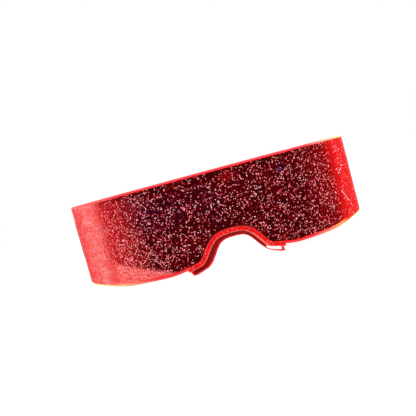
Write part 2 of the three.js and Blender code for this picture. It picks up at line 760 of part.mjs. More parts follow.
// One light box with all that it holds, and the arm behind it
function sideGroup(sideName, hand) {
  const handed = (geometry) => (hand < 0 ? mirrored(geometry) : geometry);
  const box = new THREE.Group();
  box.position.set(hand * (halfWidth + boxOutset - boxThickness), boxFrontY, tailMidZ);
  const add = (name, geometry, material, [x, y, z] = [0, 0, 0]) =>
    addTo(box, `${sideName}_${name}`, handed(geometry), material, [hand * x, y, z]);

  add('light_box_shell', shellGeometry(), materials.plastic);
  add('light_box_cover', coverGeometry(), materials.plastic);
  add('circuit_board', block(
    [tailInnerX - boardThickness, boardFrontY, -boardHeight / 2],
    [tailInnerX, boardFrontY + boardLength, boardHeight / 2]), materials.board);
  for (const [place, z] of Object.entries(ledOffsets)) {
    add(`led_${place}`, ledGeometry(), materials.led, [tailInnerX, boardFrontY, z]);
  }
  add('tact_switch', switchGeometry(), materials.contact, [tailInnerX, switchY, 0]);
  add('button', buttonGeometry(), materials.softPlastic);
  add('coin_cell_outer', cellGeometry(), materials.steel, [innerCellX + cellThickness, bayY, 0]);
  add('coin_cell_inner', cellGeometry(), materials.steel, [innerCellX, bayY, 0]);
  add('cell_rim_contact', rimContactGeometry(), materials.contact);
  add('cell_base_contact', baseContactGeometry(), materials.contact);
  for (const [place, { y, z }] of Object.entries(caseScrews)) {
    add(`case_screw_${place}`, screwGeometry(), materials.steel, [slackClearance, y, z]);
  }
  add('battery_door', doorGeometry(), materials.plastic);
  add('battery_door_screw', screwGeometry(), materials.steel, [slackClearance, doorScrewY, 0]);
  add('hinge_pin', pinGeometry(), materials.steel, [hingeX, hingeY, 0]);

  const arm = new THREE.Group();
  arm.position.set(hand * hingeX, hingeY, 0);
  addTo(arm, `${sideName}_temple_arm`, handed(armGeometry()), materials.plastic);
  addTo(arm, `${sideName}_ear_tip`, handed(tipGeometry()), materials.softPlastic);
  box.add(arm);
  return box;
}

// The whole visor, moved so that its origin lies under the middle of its bounding box
const padFrontY = facePoint(0, 0, -clearance - padWall).y;
const armEndY = boxFrontY + hingeY + armLength + tipHeight / 2;
const group = new THREE.Group();
const visor = new THREE.Group();
visor.position.y = -(padFrontY + armEndY) / 2;
addTo(visor, 'lens_panel', lensGeometry(), materials.acrylic);
addTo(visor, 'glitter_film', filmGeometry(), materials.film);
addTo(visor, 'nose_pad', padGeometry(), materials.silicone);
visor.add(sideGroup('left', 1), sideGroup('right', -1));
group.add(visor);

export default group;
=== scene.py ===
import math

import bmesh
import bpy
import numpy as np
from mathutils import Matrix, Vector


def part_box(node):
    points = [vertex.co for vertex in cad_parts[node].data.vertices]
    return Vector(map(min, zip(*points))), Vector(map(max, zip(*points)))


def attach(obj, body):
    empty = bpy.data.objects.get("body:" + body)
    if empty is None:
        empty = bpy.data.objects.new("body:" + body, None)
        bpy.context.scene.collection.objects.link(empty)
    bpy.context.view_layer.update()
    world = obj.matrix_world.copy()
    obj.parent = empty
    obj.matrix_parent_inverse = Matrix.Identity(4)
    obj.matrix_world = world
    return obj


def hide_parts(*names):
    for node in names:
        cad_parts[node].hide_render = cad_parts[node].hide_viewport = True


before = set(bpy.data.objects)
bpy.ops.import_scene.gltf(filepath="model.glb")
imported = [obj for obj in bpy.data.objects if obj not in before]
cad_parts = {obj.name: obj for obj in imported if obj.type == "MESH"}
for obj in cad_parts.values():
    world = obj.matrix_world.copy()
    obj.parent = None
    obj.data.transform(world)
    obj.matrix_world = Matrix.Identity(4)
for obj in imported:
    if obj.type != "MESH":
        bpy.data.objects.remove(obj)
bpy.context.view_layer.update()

# Camera: the visor is seen from the front, a little from above and from the wearer's right side, and
# leans to the left in the picture. Where it stood was worked out from the outline of the lens.
mm = 0.001
picture_side = 416
focal_pixels = 715
aim_pixel = Vector((222.4, 213.3))
aim_depth, aim_height = 20.5 * mm, 24 * mm
lens_low, lens_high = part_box("lens_panel")
aim = Vector((0, lens_low.y + aim_depth, lens_low.z + aim_height))
camera_distance = 380.9 * mm
yaw, pitch, roll = (math.radians(turn) for turn in (5.03, 3.02, 15.14))
ahead = Vector((math.sin(yaw) * math.cos(pitch), math.cos(yaw) * math.cos(pitch), -math.sin(pitch)))
level = Vector((math.cos(yaw), -math.sin(yaw), 0))
upright = level.cross(ahead)
rightward = level * math.cos(roll) - upright * math.sin(roll)
upward = upright * math.cos(roll) + level * math.sin(roll)
camera_data = bpy.data.cameras.new("camera")
camera_data.lens = camera_data.sensor_width * focal_pixels / picture_side
camera_data.shift_x = 0.5 - aim_pixel.x / picture_side
camera_data.shift_y = aim_pixel.y / picture_side - 0.5
camera = bpy.data.objects.new("camera", camera_data)
camera.matrix_world = (
    Matrix.Translation(aim - camera_distance * ahead)
    @ Matrix((rightward, upward, -ahead)).transposed().to_4x4())
bpy.context.collection.objects.link(camera)
bpy.context.scene.camera = camera
bpy.context.scene.view_settings.view_transform = "Standard"


def linear(hex_colour):
    """The colour written as sRGB hex, as the linear RGBA that the nodes take."""
    shares = [int(hex_colour[at:at + 2], 16) / 255 for at in (1, 3, 5)]
    return [c / 12.92 if c <= 0.04045 else ((c + 0.055) / 1.055) ** 2.4 for c in shares] + [1]


def add_node(tree, kind, *inputs, **settings):
    """A node with its settings. Its inputs are given in their order, or in a dict by their names.

    An input takes a value, a hex colour, a socket or another node. The inputs of a MapRange are the
    value, the two ends of the range that it comes from and the two ends of the one it goes to.
    """
    node = tree.nodes.new("ShaderNode" + kind)
    for name, value in settings.items():
        setattr(node, name, value)
    sockets = [socket for socket in node.inputs if socket.enabled]
    if inputs and isinstance(inputs[0], dict):
        sockets = [next(socket for socket in sockets if socket.name == name) for name in inputs[0]]
        inputs = inputs[0].values()
    for socket, value in zip(sockets, inputs):
        if isinstance(value, bpy.types.Node):
            value = next(result for result in value.outputs if result.enabled)
        if isinstance(value, bpy.types.NodeSocket):
            tree.links.new(value, socket)
        else:
            socket.default_value = linear(value) if isinstance(value, str) else value
    return node


def start_material(name):
    """A bare material of that name, and its node tree."""
    material = bpy.data.materials.new(name)
    material.use_nodes = True
    material.node_tree.nodes.clear()
    return material, material.node_tree


# Room: a matt pale floor that fades into a white surround, lit softly from both sides and above.
# The surround shows white to the eye and in gloss, and lights the visor more dimly.
floor_size = 4
floor_own_white = 0.55
bpy.ops.mesh.primitive_plane_add(size=floor_size)
floor = bpy.context.object
floor.name = "floor"
floor_paint, tree = start_material("matt_white_floor_paint")
seen = add_node(tree, "LightPath").outputs
own_white = add_node(tree, "Math", seen["Is Camera Ray"], floor_own_white, operation="MULTIPLY")
paint = add_node(tree, "BsdfPrincipled", {
    "Base Color": "#f2f2f2", "Roughness": 0.9, "Emission Color": "#ffffff", "Emission Strength": own_white})
add_node(tree, "OutputMaterial", paint)
floor.data.materials.append(floor_paint)

ambient_strength = 0.5
world = bpy.data.worlds.new("surround")
bpy.context.scene.world = world
world.use_nodes = True
tree = world.node_tree
tree.nodes.clear()
seen = add_node(tree, "LightPath").outputs
direct = add_node(tree, "Math", seen["Is Camera Ray"], seen["Is Glossy Ray"], operation="MAXIMUM")
direct = add_node(tree, "Math", direct, seen["Is Transmission Ray"], operation="MAXIMUM")
strength = add_node(tree, "MapRange", direct, 0, 1, ambient_strength)
surround = add_node(tree, "Background", "#ffffff", strength)
add_node(tree, "OutputWorld", surround)

lamps = {
    "left_softbox": {"place": (-0.55, -0.6, 0.6), "power": 4.2, "size": 0.5},
    "right_softbox": {"place": (0.65, -0.35, 0.5), "power": 3.0, "size": 0.4},
    "rear_softbox": {"place": (0.1, 0.7, 0.7), "power": 3.0, "size": 0.5},
}
for name, lamp in lamps.items():
    light = bpy.data.lights.new(name, "AREA")
    light.energy = lamp["power"]
    light.size = lamp["size"]
    holder = bpy.data.objects.new(name, light)
    holder.location = lamp["place"]
    holder.rotation_euler = (aim - holder.location).to_track_quat("-Z", "Y").to_euler()
    bpy.context.collection.objects.link(holder)

# Lens: cast acrylic sheet, 3 mm thick, laser cut flat and then bent hot over a former to a U.
# Its cut edges are polished and carry the diodes' light, and etched dots let it out at the turns.
half_width = lens_high.x
sheet_height = lens_high.z - lens_low.z
sheet_thickness = 3 * mm
cut_edge_round = 0.4 * mm
front_radius = 106.5 * mm
turn_radius = 14 * mm
corner_rise = 6 * mm
rise_run = 25 * mm
rise_growth = 1.5
tail_run = 21.5 * mm
tail_slope_run = 12 * mm
tail_drop = 10 * mm
tail_height = 18 * mm
notch_arch_height = 9.5 * mm
notch_foot_height = 6.2 * mm
notch_arch_half = 19.3 * mm
notch_half = 37.5 * mm
centre_span = front_radius - turn_radius
front_angle = math.asin((half_width - turn_radius) / centre_span)
front_arc = front_radius * front_angle
turn_end = front_arc + turn_radius * (math.pi / 2 - front_angle)
turn_depth = front_radius - centre_span * math.cos(front_angle)
rise_start = front_arc - rise_run
tail_bottom = sheet_height - tail_drop - tail_height
tail_end = turn_end + tail_run


def ease(share):
    return (1 - np.cos(np.pi * np.clip(share, 0, 1))) / 2


def lower_edge(along):
    """Height of the cut sheet's lower edge: the nose notch, then the rise towards each end."""
    out = np.abs(along)
    notch = notch_arch_height * (1 - ease((out / notch_arch_half) ** 2))
    notch += notch_foot_height * (1 - ease(out / notch_half))
    turn_run = turn_end - rise_start
    rise = corner_rise * np.clip((out - rise_start) / turn_run, 0, 1) ** rise_growth
    past = np.clip((out - turn_end) / tail_slope_run, 0, 1)
    slope_rise = tail_slope_run * rise_growth * corner_rise / turn_run
    tail = corner_rise + (tail_bottom - corner_rise) * past ** 2 * (3 - 2 * past)
    tail += slope_rise * past * (1 - past) ** 2
    return np.where(out <= rise_start, notch, np.where(out <= turn_end, rise, tail))


def upper_edge(along):
    return sheet_height - tail_drop * ease((np.abs(along) - turn_end) / tail_slope_run)


# Outline of the film behind the lens: the lens is lit all round it
film_margin = 0.8 * mm
film_notch_margin = 1.7 * mm
film_margin_run = 14 * mm
film_corner_radius = 12 * mm
film_end = front_arc - 3.5 * mm
margin_probes = 13


def film_low(along):
    out = np.abs(along)
    past_notch = ease((out - notch_arch_half) / film_margin_run)
    margin = film_notch_margin + (film_margin - film_notch_margin) * past_notch
    turns = np.linspace(0, math.pi, margin_probes)[:, None]
    clear_of_edge = (lower_edge(along + margin * np.cos(turns)) + margin * np.sin(turns)).max(0)
    into_corner = np.maximum(out - film_end + film_corner_radius, 0)
    return clear_of_edge + film_corner_radius - np.sqrt(
        np.maximum(film_corner_radius ** 2 - into_corner ** 2, 0))


def bend_hot(flat):
    """Places on the flat sheet (along it, depth behind its face, height) on the bent visor."""
    along, depth, height = flat.T
    out = np.abs(along)
    in_turn = np.minimum(front_angle + (out - front_arc) / turn_radius, math.pi / 2)
    heading = np.where(out <= front_arc, out / front_radius, in_turn)
    radius = np.where(out <= front_arc, front_radius, turn_radius)
    centre_x = np.where(out <= front_arc, 0, centre_span * math.sin(front_angle))
    centre_y = np.where(out <= front_arc, front_radius, turn_depth)
    x = centre_x + (radius - depth) * np.sin(heading)
    y = centre_y - (radius - depth) * np.cos(heading) + np.maximum(out - turn_end, 0)
    return np.column_stack((np.sign(along) * x, lens_low.y + y, lens_low.z + height))


def places_of(piece):
    flat = np.empty(len(piece.data.vertices) * 3)
    piece.data.vertices.foreach_get("co", flat)
    return flat.reshape(-1, 3)


def move_to(piece, places):
    piece.data.vertices.foreach_set("co", np.ascontiguousarray(places).ravel())
    piece.data.update()


def select_only(piece):
    bpy.ops.object.select_all(action="DESELECT")
    piece.select_set(True)
    bpy.context.view_layer.objects.active = piece


def start_piece(name, primitive, **settings):
    """A new primitive, alone selected, with the piece's name."""
    bpy.ops.object.select_all(action="DESELECT")
    primitive(**settings)
    piece = bpy.context.object
    piece.name = name
    piece.data.name = name
    return piece


def edit(piece, *steps, faces=None, edges=None):
    """Runs edit mode steps on the whole piece, or on the faces or edges that a test picks."""
    select_only(piece)
    bpy.ops.object.mode_set(mode="EDIT")
    bpy.ops.mesh.select_mode(type="EDGE" if edges else "FACE" if faces else "VERT")
    bpy.ops.mesh.select_all(action="DESELECT" if faces or edges else "SELECT")
    if faces or edges:
        mesh = bmesh.from_edit_mesh(piece.data)
        for element in mesh.faces if faces else mesh.edges:
            element.select_set(bool((faces or edges)(element)))
        mesh.select_flush_mode()
        bmesh.update_edit_mesh(piece.data)
    for step in steps:
        step()
    bpy.ops.object.mode_set(mode="OBJECT")


def face_outwards():
    """Edit mode step: turns all faces outwards."""
    bpy.ops.mesh.select_all(action="SELECT")
    bpy.ops.mesh.normals_make_consistent(inside=False)


def finish_with(piece, kind, **settings):
    """Adds a modifier with its settings and applies it."""
    select_only(piece)
    modifier = piece.modifiers.new(kind.title(), kind)
    for name, value in settings.items():
        setattr(modifier, name, value)
    bpy.ops.object.modifier_apply(modifier=modifier.name)


def round_off(piece, width, segments, angle=60):
    """Rounds the edges that are sharper than the angle."""
    finish_with(piece, "BEVEL", width=width, segments=segments, limit_method="ANGLE",
                angle_limit=math.radians(angle))


def smooth(piece, angle=35):
    select_only(piece)
    bpy.ops.object.shade_smooth_by_angle(angle=math.radians(angle))


def cut_blank(name, start, end, step, rows, low, high, depth, thickness):
    """A flat blank from one end to the other between a lower and an upper edge, thickened."""
    blank = start_piece(
        name, bpy.ops.mesh.primitive_grid_add, size=1,
        x_subdivisions=round((end - start) / step), y_subdivisions=rows)
    across, up, _ = places_of(blank).T
    along = start + (across + 0.5) * (end - start)
    height = low(along) + (up + 0.5) * (high(along) - low(along))
    move_to(blank, np.column_stack((along, np.full_like(along, depth), height)))
    thicken = {"value": (0, thickness, 0)}
    edit(blank, lambda: bpy.ops.mesh.extrude_region_move(TRANSFORM_OT_translate=thicken), face_outwards)
    return blank


def keep_flat_places(piece, uv_map):
    """Writes each corner's place along (X) and up (Y) the flat piece, in millimetres, to a UV map."""
    layer = piece.data.uv_layers.new(name=uv_map)
    corners = np.empty(len(piece.data.loops), int)
    piece.data.loops.foreach_get("vertex_index", corners)
    layer.data.foreach_set("uv", (places_of(piece)[corners][:, (0, 2)] / mm).ravel())
    piece.data.uv_layers.active = layer


def keep_edge_places(blank):
    """Keeps each point's height over the lower edge, under the upper one and over the film's."""
    along, _, height = places_of(blank).T
    over_film = height - film_low(np.clip(along, -film_end, film_end))
    measured = np.column_stack((height - lower_edge(along), upper_edge(along) - height, over_film))
    kept = blank.data.attributes.new("edge_places", "FLOAT_VECTOR", "POINT")
    kept.data.foreach_set("vector", (measured / mm).ravel())


lens = cut_blank(
    "lens_acrylic", -tail_end, tail_end, step=0.8 * mm, rows=10, low=lower_edge, high=upper_edge,
    depth=0, thickness=sheet_thickness)
round_off(lens, cut_edge_round, 2)
keep_flat_places(lens, "flat_sheet")
keep_edge_places(lens)
bent = bend_hot(places_of(lens))
cut_edge_tilt = 0.95
for face in lens.data.polygons:
    face.material_index = int(abs(face.normal.y) < cut_edge_tilt)
move_to(lens, bent)
smooth(lens)


def set_tones(ramp, *stops):
    """Sets the stops of a colour ramp, each a place and a hex colour, in their order."""
    elements = ramp.color_ramp.elements
    for element, (place, tone) in zip(elements[:], (stops[0], stops[-1])):
        element.position, element.color = place, linear(tone)
    for place, tone in stops[1:-1]:
        elements.new(place).color = linear(tone)


def edge_tone(tree, flat):
    """Colour of the light at the sheet's edges: red in front, amber at the turns, spent at the tails."""
    out = add_node(tree, "Math", flat["X"], operation="ABSOLUTE")
    upper = add_node(tree, "MapRange", flat["Y"], 30, 40)
    # Along the upper edge the amber starts 9 mm nearer to the ends
    reach = add_node(tree, "Math", upper, -9, out, operation="MULTIPLY_ADD")
    amber = add_node(tree, "MapRange", reach, 44, 82)
    unspent = add_node(tree, "MapRange", out, 90, 98, 1, 0)
    # The upper edge on the wearer's right stays red
    kept_red = add_node(tree, "MapRange", flat["X"], -20, -40, 0, 0.9)
    kept_red = add_node(tree, "Math", upper, kept_red, operation="MULTIPLY")
    free = add_node(tree, "Math", 1, kept_red, operation="SUBTRACT")
    share = add_node(tree, "Math", amber, unspent, operation="MULTIPLY")
    share = add_node(tree, "Math", share, free, operation="MULTIPLY")
    tones = add_node(tree, "ValToRGB", share)
    set_tones(tones, (0, "#e23c42"), (0.25, "#f48674"), (0.55, "#f8b286"), (0.8, "#f8cc90"), (1, "#f8dc98"))
    return tones


# Cast acrylic: clear and polished over the film, which shows through it with a faint gloss. All
# round the film etched dots scatter the red light, and the sheet looks solid red there.
# The numbers in the patterns are millimetres on the flat sheet, and shares.
acrylic_face, tree = start_material("cast_acrylic_edge_lit")
flat = add_node(tree, "SeparateXYZ", add_node(tree, "UVMap", uv_map="flat_sheet")).outputs
kept = add_node(tree, "Attribute", attribute_name="edge_places").outputs["Vector"]
over_edge, under_edge, over_film = add_node(tree, "SeparateXYZ", kept).outputs
out = add_node(tree, "Math", flat["X"], operation="ABSOLUTE")
sheet = add_node(tree, "CombineXYZ", flat["X"], flat["Y"])
# Dots 0.9 mm apart break up the border of the lit zone
dots = add_node(tree, "TexNoise", {"Vector": sheet, "Scale": 1.1, "Detail": 3})
dither = add_node(tree, "MapRange", dots, 0.3, 0.7, -2, 2)
reach = add_node(tree, "Math", out, dither, operation="ADD")
# On the wearer's left the zone starts 3.5 mm nearer to the end
later = add_node(tree, "MapRange", flat["X"], -20, 20, 0, 3.5)
reach = add_node(tree, "Math", reach, later, operation="SUBTRACT")
lit_end = add_node(tree, "MapRange", reach, 67.5, 72, 0, 0.97)
to_film = add_node(tree, "Math", under_edge, film_margin / mm, operation="SUBTRACT")
to_film = add_node(tree, "Math", to_film, over_film, operation="MINIMUM")
lit_border = add_node(tree, "MapRange", to_film, 0.35, 0.6, 1, 0)
lit = add_node(tree, "Math", lit_end, lit_border, operation="MAXIMUM")
# The wearer's right end is paler than the left one, all but its last stretch
paler = add_node(tree, "MapRange", flat["X"], -74, -50, 1, 0)
redder_end = add_node(tree, "MapRange", flat["X"], -87, -76, 0.15)
paler = add_node(tree, "Math", paler, redder_end, operation="MULTIPLY")
cloud = add_node(tree, "MapRange", dots, 0.35, 0.65)
strong_glow = add_node(tree, "Mix", cloud, "#b60d0f", "#de1d1e", data_type="RGBA")
pale_glow = add_node(tree, "Mix", cloud, "#b8302f", "#ea6c68", data_type="RGBA")
glow = add_node(tree, "Mix", paler, strong_glow, pale_glow, data_type="RGBA")
# Milky patches 4 mm apart in the paler end
milky = add_node(tree, "TexNoise", {"Vector": sheet, "Scale": 0.25, "Detail": 2})
milky = add_node(tree, "MapRange", milky, 0.4, 0.7, 0, 0.4)
milky = add_node(tree, "Math", milky, paler, operation="MULTIPLY")
glow = add_node(tree, "Mix", milky, glow, "#dc9896", data_type="RGBA")
# Painted shade: above the nose pad the sheet is painted dark right down to the pad's lip, which shades its
# lit border
at_pad = add_node(tree, "MapRange", out, 24, 27, 1, 0)
low_down = add_node(tree, "MapRange", over_edge, 6, 12, 1, 0)
painted_pad_shade = add_node(tree, "Math", at_pad, low_down, operation="MULTIPLY")
glow = add_node(tree, "Mix", painted_pad_shade, glow, "#3a0306", data_type="RGBA")
# Within 1 mm of its cut edge the sheet shows the edge's own light, amber at the turns
near_edge = add_node(tree, "Math", over_edge, under_edge, operation="MINIMUM")
rim = add_node(tree, "MapRange", near_edge, 0.75, 1.25, 1, 0)
glow = add_node(tree, "Mix", rim, glow, edge_tone(tree, flat), data_type="RGBA")
etched = add_node(tree, "BsdfPrincipled", {
    "Base Color": glow, "Roughness": 0.18, "IOR": 1.49, "Specular IOR Level": 0.04,
    "Emission Color": glow, "Emission Strength": 0.42})
clear = add_node(tree, "BsdfTransparent", "#fff4f4")
gloss = add_node(tree, "BsdfGlossy", {"Color": "#ffffff", "Roughness": 0.04})
fresnel = add_node(tree, "LayerWeight", {"Blend": 0.04})
polished = add_node(tree, "MixShader", fresnel, clear, gloss)
face_mix = add_node(tree, "MixShader", lit, polished, etched)
add_node(tree, "OutputMaterial", face_mix)

# Polished cut edge of the acrylic: light that has run along inside the sheet comes out here, pale
# red along the front and amber at the turns, where the edge is nearest to the diodes.
acrylic_edge, tree = start_material("polished_acrylic_edge")
flat = add_node(tree, "SeparateXYZ", add_node(tree, "UVMap", uv_map="flat_sheet")).outputs
edge_glow = edge_tone(tree, flat)
along_edge = add_node(tree, "CombineXYZ", flat["X"])
streaks = add_node(tree, "TexNoise", {"Vector": along_edge, "Scale": 0.35, "Detail": 4})
bright = add_node(tree, "MapRange", streaks, 0.3, 0.7, 0.3, 0.6)
edge = add_node(tree, "BsdfPrincipled", {
    "Base Color": edge_glow, "Roughness": 0.12, "IOR": 1.49, "Specular IOR Level": 0.1,
    "Emission Color": edge_glow, "Emission Strength": bright})
add_node(tree, "OutputMaterial", edge)
lens.data.materials.append(acrylic_face)
lens.data.materials.append(acrylic_edge)
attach(lens, "visor")
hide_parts("lens_panel")

# Film: dark printed plastic film, 0.3 mm thick, behind the lens and glued to it along its border.
# It stops short of the turns, keeps clear of the notch, and its lower corners are round.
film_thickness = 0.3 * mm
film_gap = 0.3 * mm
film_depth = sheet_thickness + film_gap
film = cut_blank(
    "starry_film", -film_end, film_end, step=0.9 * mm, rows=8, low=film_low,
    high=lambda along: np.full_like(along, sheet_height - film_margin), depth=film_depth,
    thickness=film_thickness)
keep_flat_places(film, "flat_sheet")
move_to(film, bend_hot(places_of(film)))
smooth(film)

# Printed film: near black maroon, purplish in places, with fine red grains 0.7 mm apart. The print
# thins out towards its ends and low down on the wearer's right, where the red light shows through.
printed, tree = start_material("printed_pet_film")
flat = add_node(tree, "SeparateXYZ", add_node(tree, "UVMap", uv_map="flat_sheet")).outputs
sheet = add_node(tree, "CombineXYZ", flat["X"], flat["Y"])
clouds = add_node(tree, "TexNoise", {"Vector": sheet, "Scale": 0.12, "Detail": 4, "Roughness": 0.6})
field = add_node(tree, "ValToRGB", clouds)
set_tones(field, (0.34, "#27030b"), (0.66, "#4c0406"))
# Soft patches: place on the sheet and radius in millimetres, strength and colour
soft_patches_and_painted_shade = (
    ((-36, 33), (26, 13), 0.85, "#27061a"), ((-7, 30), (13, 14), 0.75, "#240619"),
    ((6, 42.5), (7, 4), 0.7, "#8a1013"), ((35.8, 38.6), (3.5, 3), 0.7, "#2b1030"),
    # The last patch is painted shade, purplish grey, cast by a blue visor that lay over this one
    ((35.9, 39), (1.3, 1.1), 0.8, "#4a3f9c"), ((-47, 40), (11, 8), 0.5, "#5c2230"))
for place, radius, most, tint in soft_patches_and_painted_shade:
    away = add_node(tree, "VectorMath", sheet, (*place, 0), operation="SUBTRACT")
    away = add_node(tree, "VectorMath", away, (*radius, 1), operation="DIVIDE")
    away = add_node(tree, "VectorMath", away, operation="LENGTH")
    share = add_node(tree, "MapRange", away, 0.2, 1, most, 0)
    field = add_node(tree, "Mix", share, field, tint, data_type="RGBA")
grains = add_node(tree, "TexVoronoi", {"Vector": sheet, "Scale": 1.5})
grain_tint = add_node(tree, "SeparateColor", grains.outputs["Color"])
grain_share = add_node(tree, "MapRange", grain_tint, 0.5, 1)
grain_body = add_node(tree, "MapRange", grains, 0.2, 0.45, 1, 0)
grain = add_node(tree, "Math", grain_share, grain_body, operation="MULTIPLY")
field = add_node(tree, "Mix", grain, field, "#a81418", data_type="RGBA")
dots = add_node(tree, "TexNoise", {"Vector": sheet, "Scale": 0.9, "Detail": 4})
dither = add_node(tree, "MapRange", dots, 0.3, 0.7, -4, 4)
reach = add_node(tree, "Math", flat["X"], dither, operation="ADD")
# Slowly from 46 mm, then within the last few millimetres
thin_left = add_node(tree, "MapRange", reach, 46, 76)
thin_left = add_node(tree, "ValToRGB", thin_left)
thin_left.color_ramp.elements.new(0.8).color = (0.22, 0.22, 0.22, 1)
field = add_node(tree, "Mix", thin_left, field, "#e4181b", data_type="RGBA")
thin_right = add_node(tree, "MapRange", reach, -44, -80)
field = add_node(tree, "Mix", thin_right, field, "#c8292e", data_type="RGBA")
thin = add_node(tree, "Math", thin_left, thin_right, operation="MAXIMUM")
# The pale corner lies under a line that rises by a third from the wearer's right of the notch
corner_line = add_node(tree, "Math", flat["X"], -0.32, -9.2, operation="MULTIPLY_ADD")
under_line = add_node(tree, "Math", corner_line, flat["Y"], operation="SUBTRACT")
pale_corner = add_node(tree, "MapRange", under_line, -1, 1, 0, 0.92)
corner_cloud = add_node(tree, "MapRange", dots, 0.38, 0.62)
corner_tone = add_node(tree, "Mix", corner_cloud, "#cc4c47", "#d68c86", data_type="RGBA")
field = add_node(tree, "Mix", pale_corner, field, corner_tone, data_type="RGBA")
shining = add_node(tree, "Math", thin, pale_corner, operation="MAXIMUM")
film_light = add_node(tree, "MapRange", shining, 0, 1, 0.12, 0.42)
film_shader = add_node(tree, "BsdfPrincipled", {
    "Base Color": field, "Roughness": 0.42, "Specular IOR Level": 0,
    "Emission Color": field, "Emission Strength": film_light})
add_node(tree, "OutputMaterial", film_shader)
film.data.materials.append(printed)
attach(film, "visor")
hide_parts("glitter_film")

# Glitter: thousands of tiny foil flakes, most of them 0.3 to 1 mm long, pressed into the film at all
# angles. One flake is modelled and copied, and each copy has its own tint from pale pink to dark red.
flake_length, flake_width, flake_thickness = 0.63 * mm, 0.4 * mm, 0.4 * mm
length_spread, width_spread = 0.3, 0.2
small_share = 0.75
cluster_spread = 2 * mm
flake_border = 0.3 * mm
flake = start_piece(
    "flake", bpy.ops.mesh.primitive_cylinder_add, vertices=6, radius=0.5, depth=1,
    rotation=(math.pi / 2, 0, 0))
bpy.ops.object.transform_apply(location=False, rotation=True, scale=False)
one_flake = places_of(flake)
flake_faces = [list(face.vertices) for face in flake.data.polygons]
bpy.data.objects.remove(flake)

# Most flakes lie all over the film, some of them beside others. Fewer and smaller ones lie on the
# turns of the lens, and small ones crowd the film's lower corner on the wearer's right.
draws = np.random.default_rng(7)
loose, clustered, turned, crowded = 3700, 800, 320, 820
home = np.column_stack((
    draws.uniform(-film_end, film_end, loose), draws.uniform(0, sheet_height, loose)))
beside = home[draws.integers(0, loose, clustered)]
beside = beside + draws.normal(0, cluster_spread, beside.shape)
on_turns = np.column_stack((
    draws.triangular(film_end - 6 * mm, film_end - 4 * mm, turn_end - 2 * mm, turned)
    * draws.choice((-1, 1), turned, p=(0.4, 0.6)), draws.uniform(0, sheet_height, turned)))
low_right = np.column_stack((
    draws.triangular(-film_end, -62 * mm, -30 * mm, crowded),
    draws.triangular(2 * mm, 15 * mm, 52 * mm, crowded)))
spots = np.vstack((home, beside, on_turns, low_right))
group = np.repeat(("field", "turn", "corner"), (loose + clustered, turned, crowded))
over_film = film_low(np.clip(spots[:, 0], -film_end, film_end))
lowest = np.where(group == "turn", lower_edge(spots[:, 0]) + film_margin, over_film)
inside = (spots[:, 1] > lowest + flake_border) & (spots[:, 1] < sheet_height - film_margin - flake_border)
inside &= (group == "turn") | (np.abs(spots[:, 0]) < film_end - flake_border)
spots, group = spots[inside], group[inside]
lengths = flake_length * draws.lognormal(0, length_spread, len(spots))
widths = flake_width * draws.lognormal(0, width_spread, len(spots))
lengths[group != "field"] *= small_share
turns = draws.uniform(0, math.pi, len(spots))
# Painted glints: pale flakes where highlights lay on the turn on the wearer's left, each with its place,
# length and width in millimetres, and slope
painted_glints = np.array((
    (76.9, 42.2, 0.7, 0.5, 60), (78.8, 40.8, 0.9, 0.6, 40), (77.4, 31.9, 1.1, 0.45, 100),
    (76.2, 30.3, 0.9, 0.45, 40), (74.7, 29.8, 0.8, 0.6, 0), (72.2, 30.6, 1.0, 0.5, 30),
    (73.1, 28.4, 0.6, 0.5, 0), (72.3, 17.9, 2.2, 0.3, -56), (73.5, 16.2, 2.2, 0.3, -56),
    (74.7, 14.4, 2.2, 0.3, -56), (75.9, 12.7, 2.2, 0.3, -56), (77.5, 10.0, 1.6, 0.3, -56)))
spots = np.vstack((spots, painted_glints[:, :2] * mm))
lengths = np.append(lengths, painted_glints[:, 2] * mm)
widths = np.append(widths, painted_glints[:, 3] * mm)
turns = np.append(turns, np.radians(painted_glints[:, 4]))
group = np.append(group, np.repeat("turn", len(painted_glints)))
count = len(spots)
sized = one_flake[None] * np.column_stack((lengths, np.full(count, flake_thickness), widths))[:, None]
cosines, sines = np.cos(turns)[:, None], np.sin(turns)[:, None]
along = spots[:, :1] + sized[..., 0] * cosines - sized[..., 2] * sines
height = spots[:, 1:] + sized[..., 0] * sines + sized[..., 2] * cosines
# On the turns, where there is no film, the flakes lie just behind the lens's face
middle_depth = np.where(group == "turn", 0.15 * mm, film_depth + 0.1 * mm)[:, None]
depth = middle_depth + sized[..., 1]
places = bend_hot(np.column_stack((along.ravel(), depth.ravel(), height.ravel())))
faces = [[at * len(one_flake) + corner for corner in face] for at in range(count) for face in flake_faces]
glitter_mesh = bpy.data.meshes.new("glitter_flakes")
glitter_mesh.from_pydata(places.tolist(), [], faces)
glitter = bpy.data.objects.new("glitter_flakes", glitter_mesh)
bpy.context.collection.objects.link(glitter)
edit(glitter, face_outwards)
tints = np.array([linear(tint) for tint in ("#ffd2d6", "#f59a9f", "#e2545a", "#ac222a", "#761624")])
picked = tints[draws.choice(5, count, p=(0.3, 0.25, 0.2, 0.15, 0.1))]
on_turn = tints[draws.choice(3, count, p=(0.15, 0.25, 0.6))]
in_corner = tints[draws.choice(4, count, p=(0.1, 0.3, 0.45, 0.15))]
picked[group == "turn"] = on_turn[group == "turn"]
picked[group == "corner"] = in_corner[group == "corner"]
# The painted glints are a pale pinkish white
picked[-len(painted_glints):] = linear("#ffd8d4")
colours = glitter_mesh.color_attributes.new("tint", "FLOAT_COLOR", "POINT")
colours.data.foreach_set("color", np.repeat(picked, len(one_flake), axis=0).ravel())

# Foil: each flake keeps its own tint and throws the light back at its own angle.
foil, tree = start_material("aluminised_polyester_foil")
tint = add_node(tree, "Attribute", attribute_name="tint")
# The faint glow in each flake's tint is painted light that makes the flakes look lit
foil_shader = add_node(tree, "BsdfPrincipled", {
    "Base Color": tint, "Roughness": 0.3, "Specular IOR Level": 0.2,
    "Emission Color": tint, "Emission Strength": 0.3})
add_node(tree, "OutputMaterial", foil_shader)
glitter_mesh.materials.append(foil)
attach(glitter, "visor")

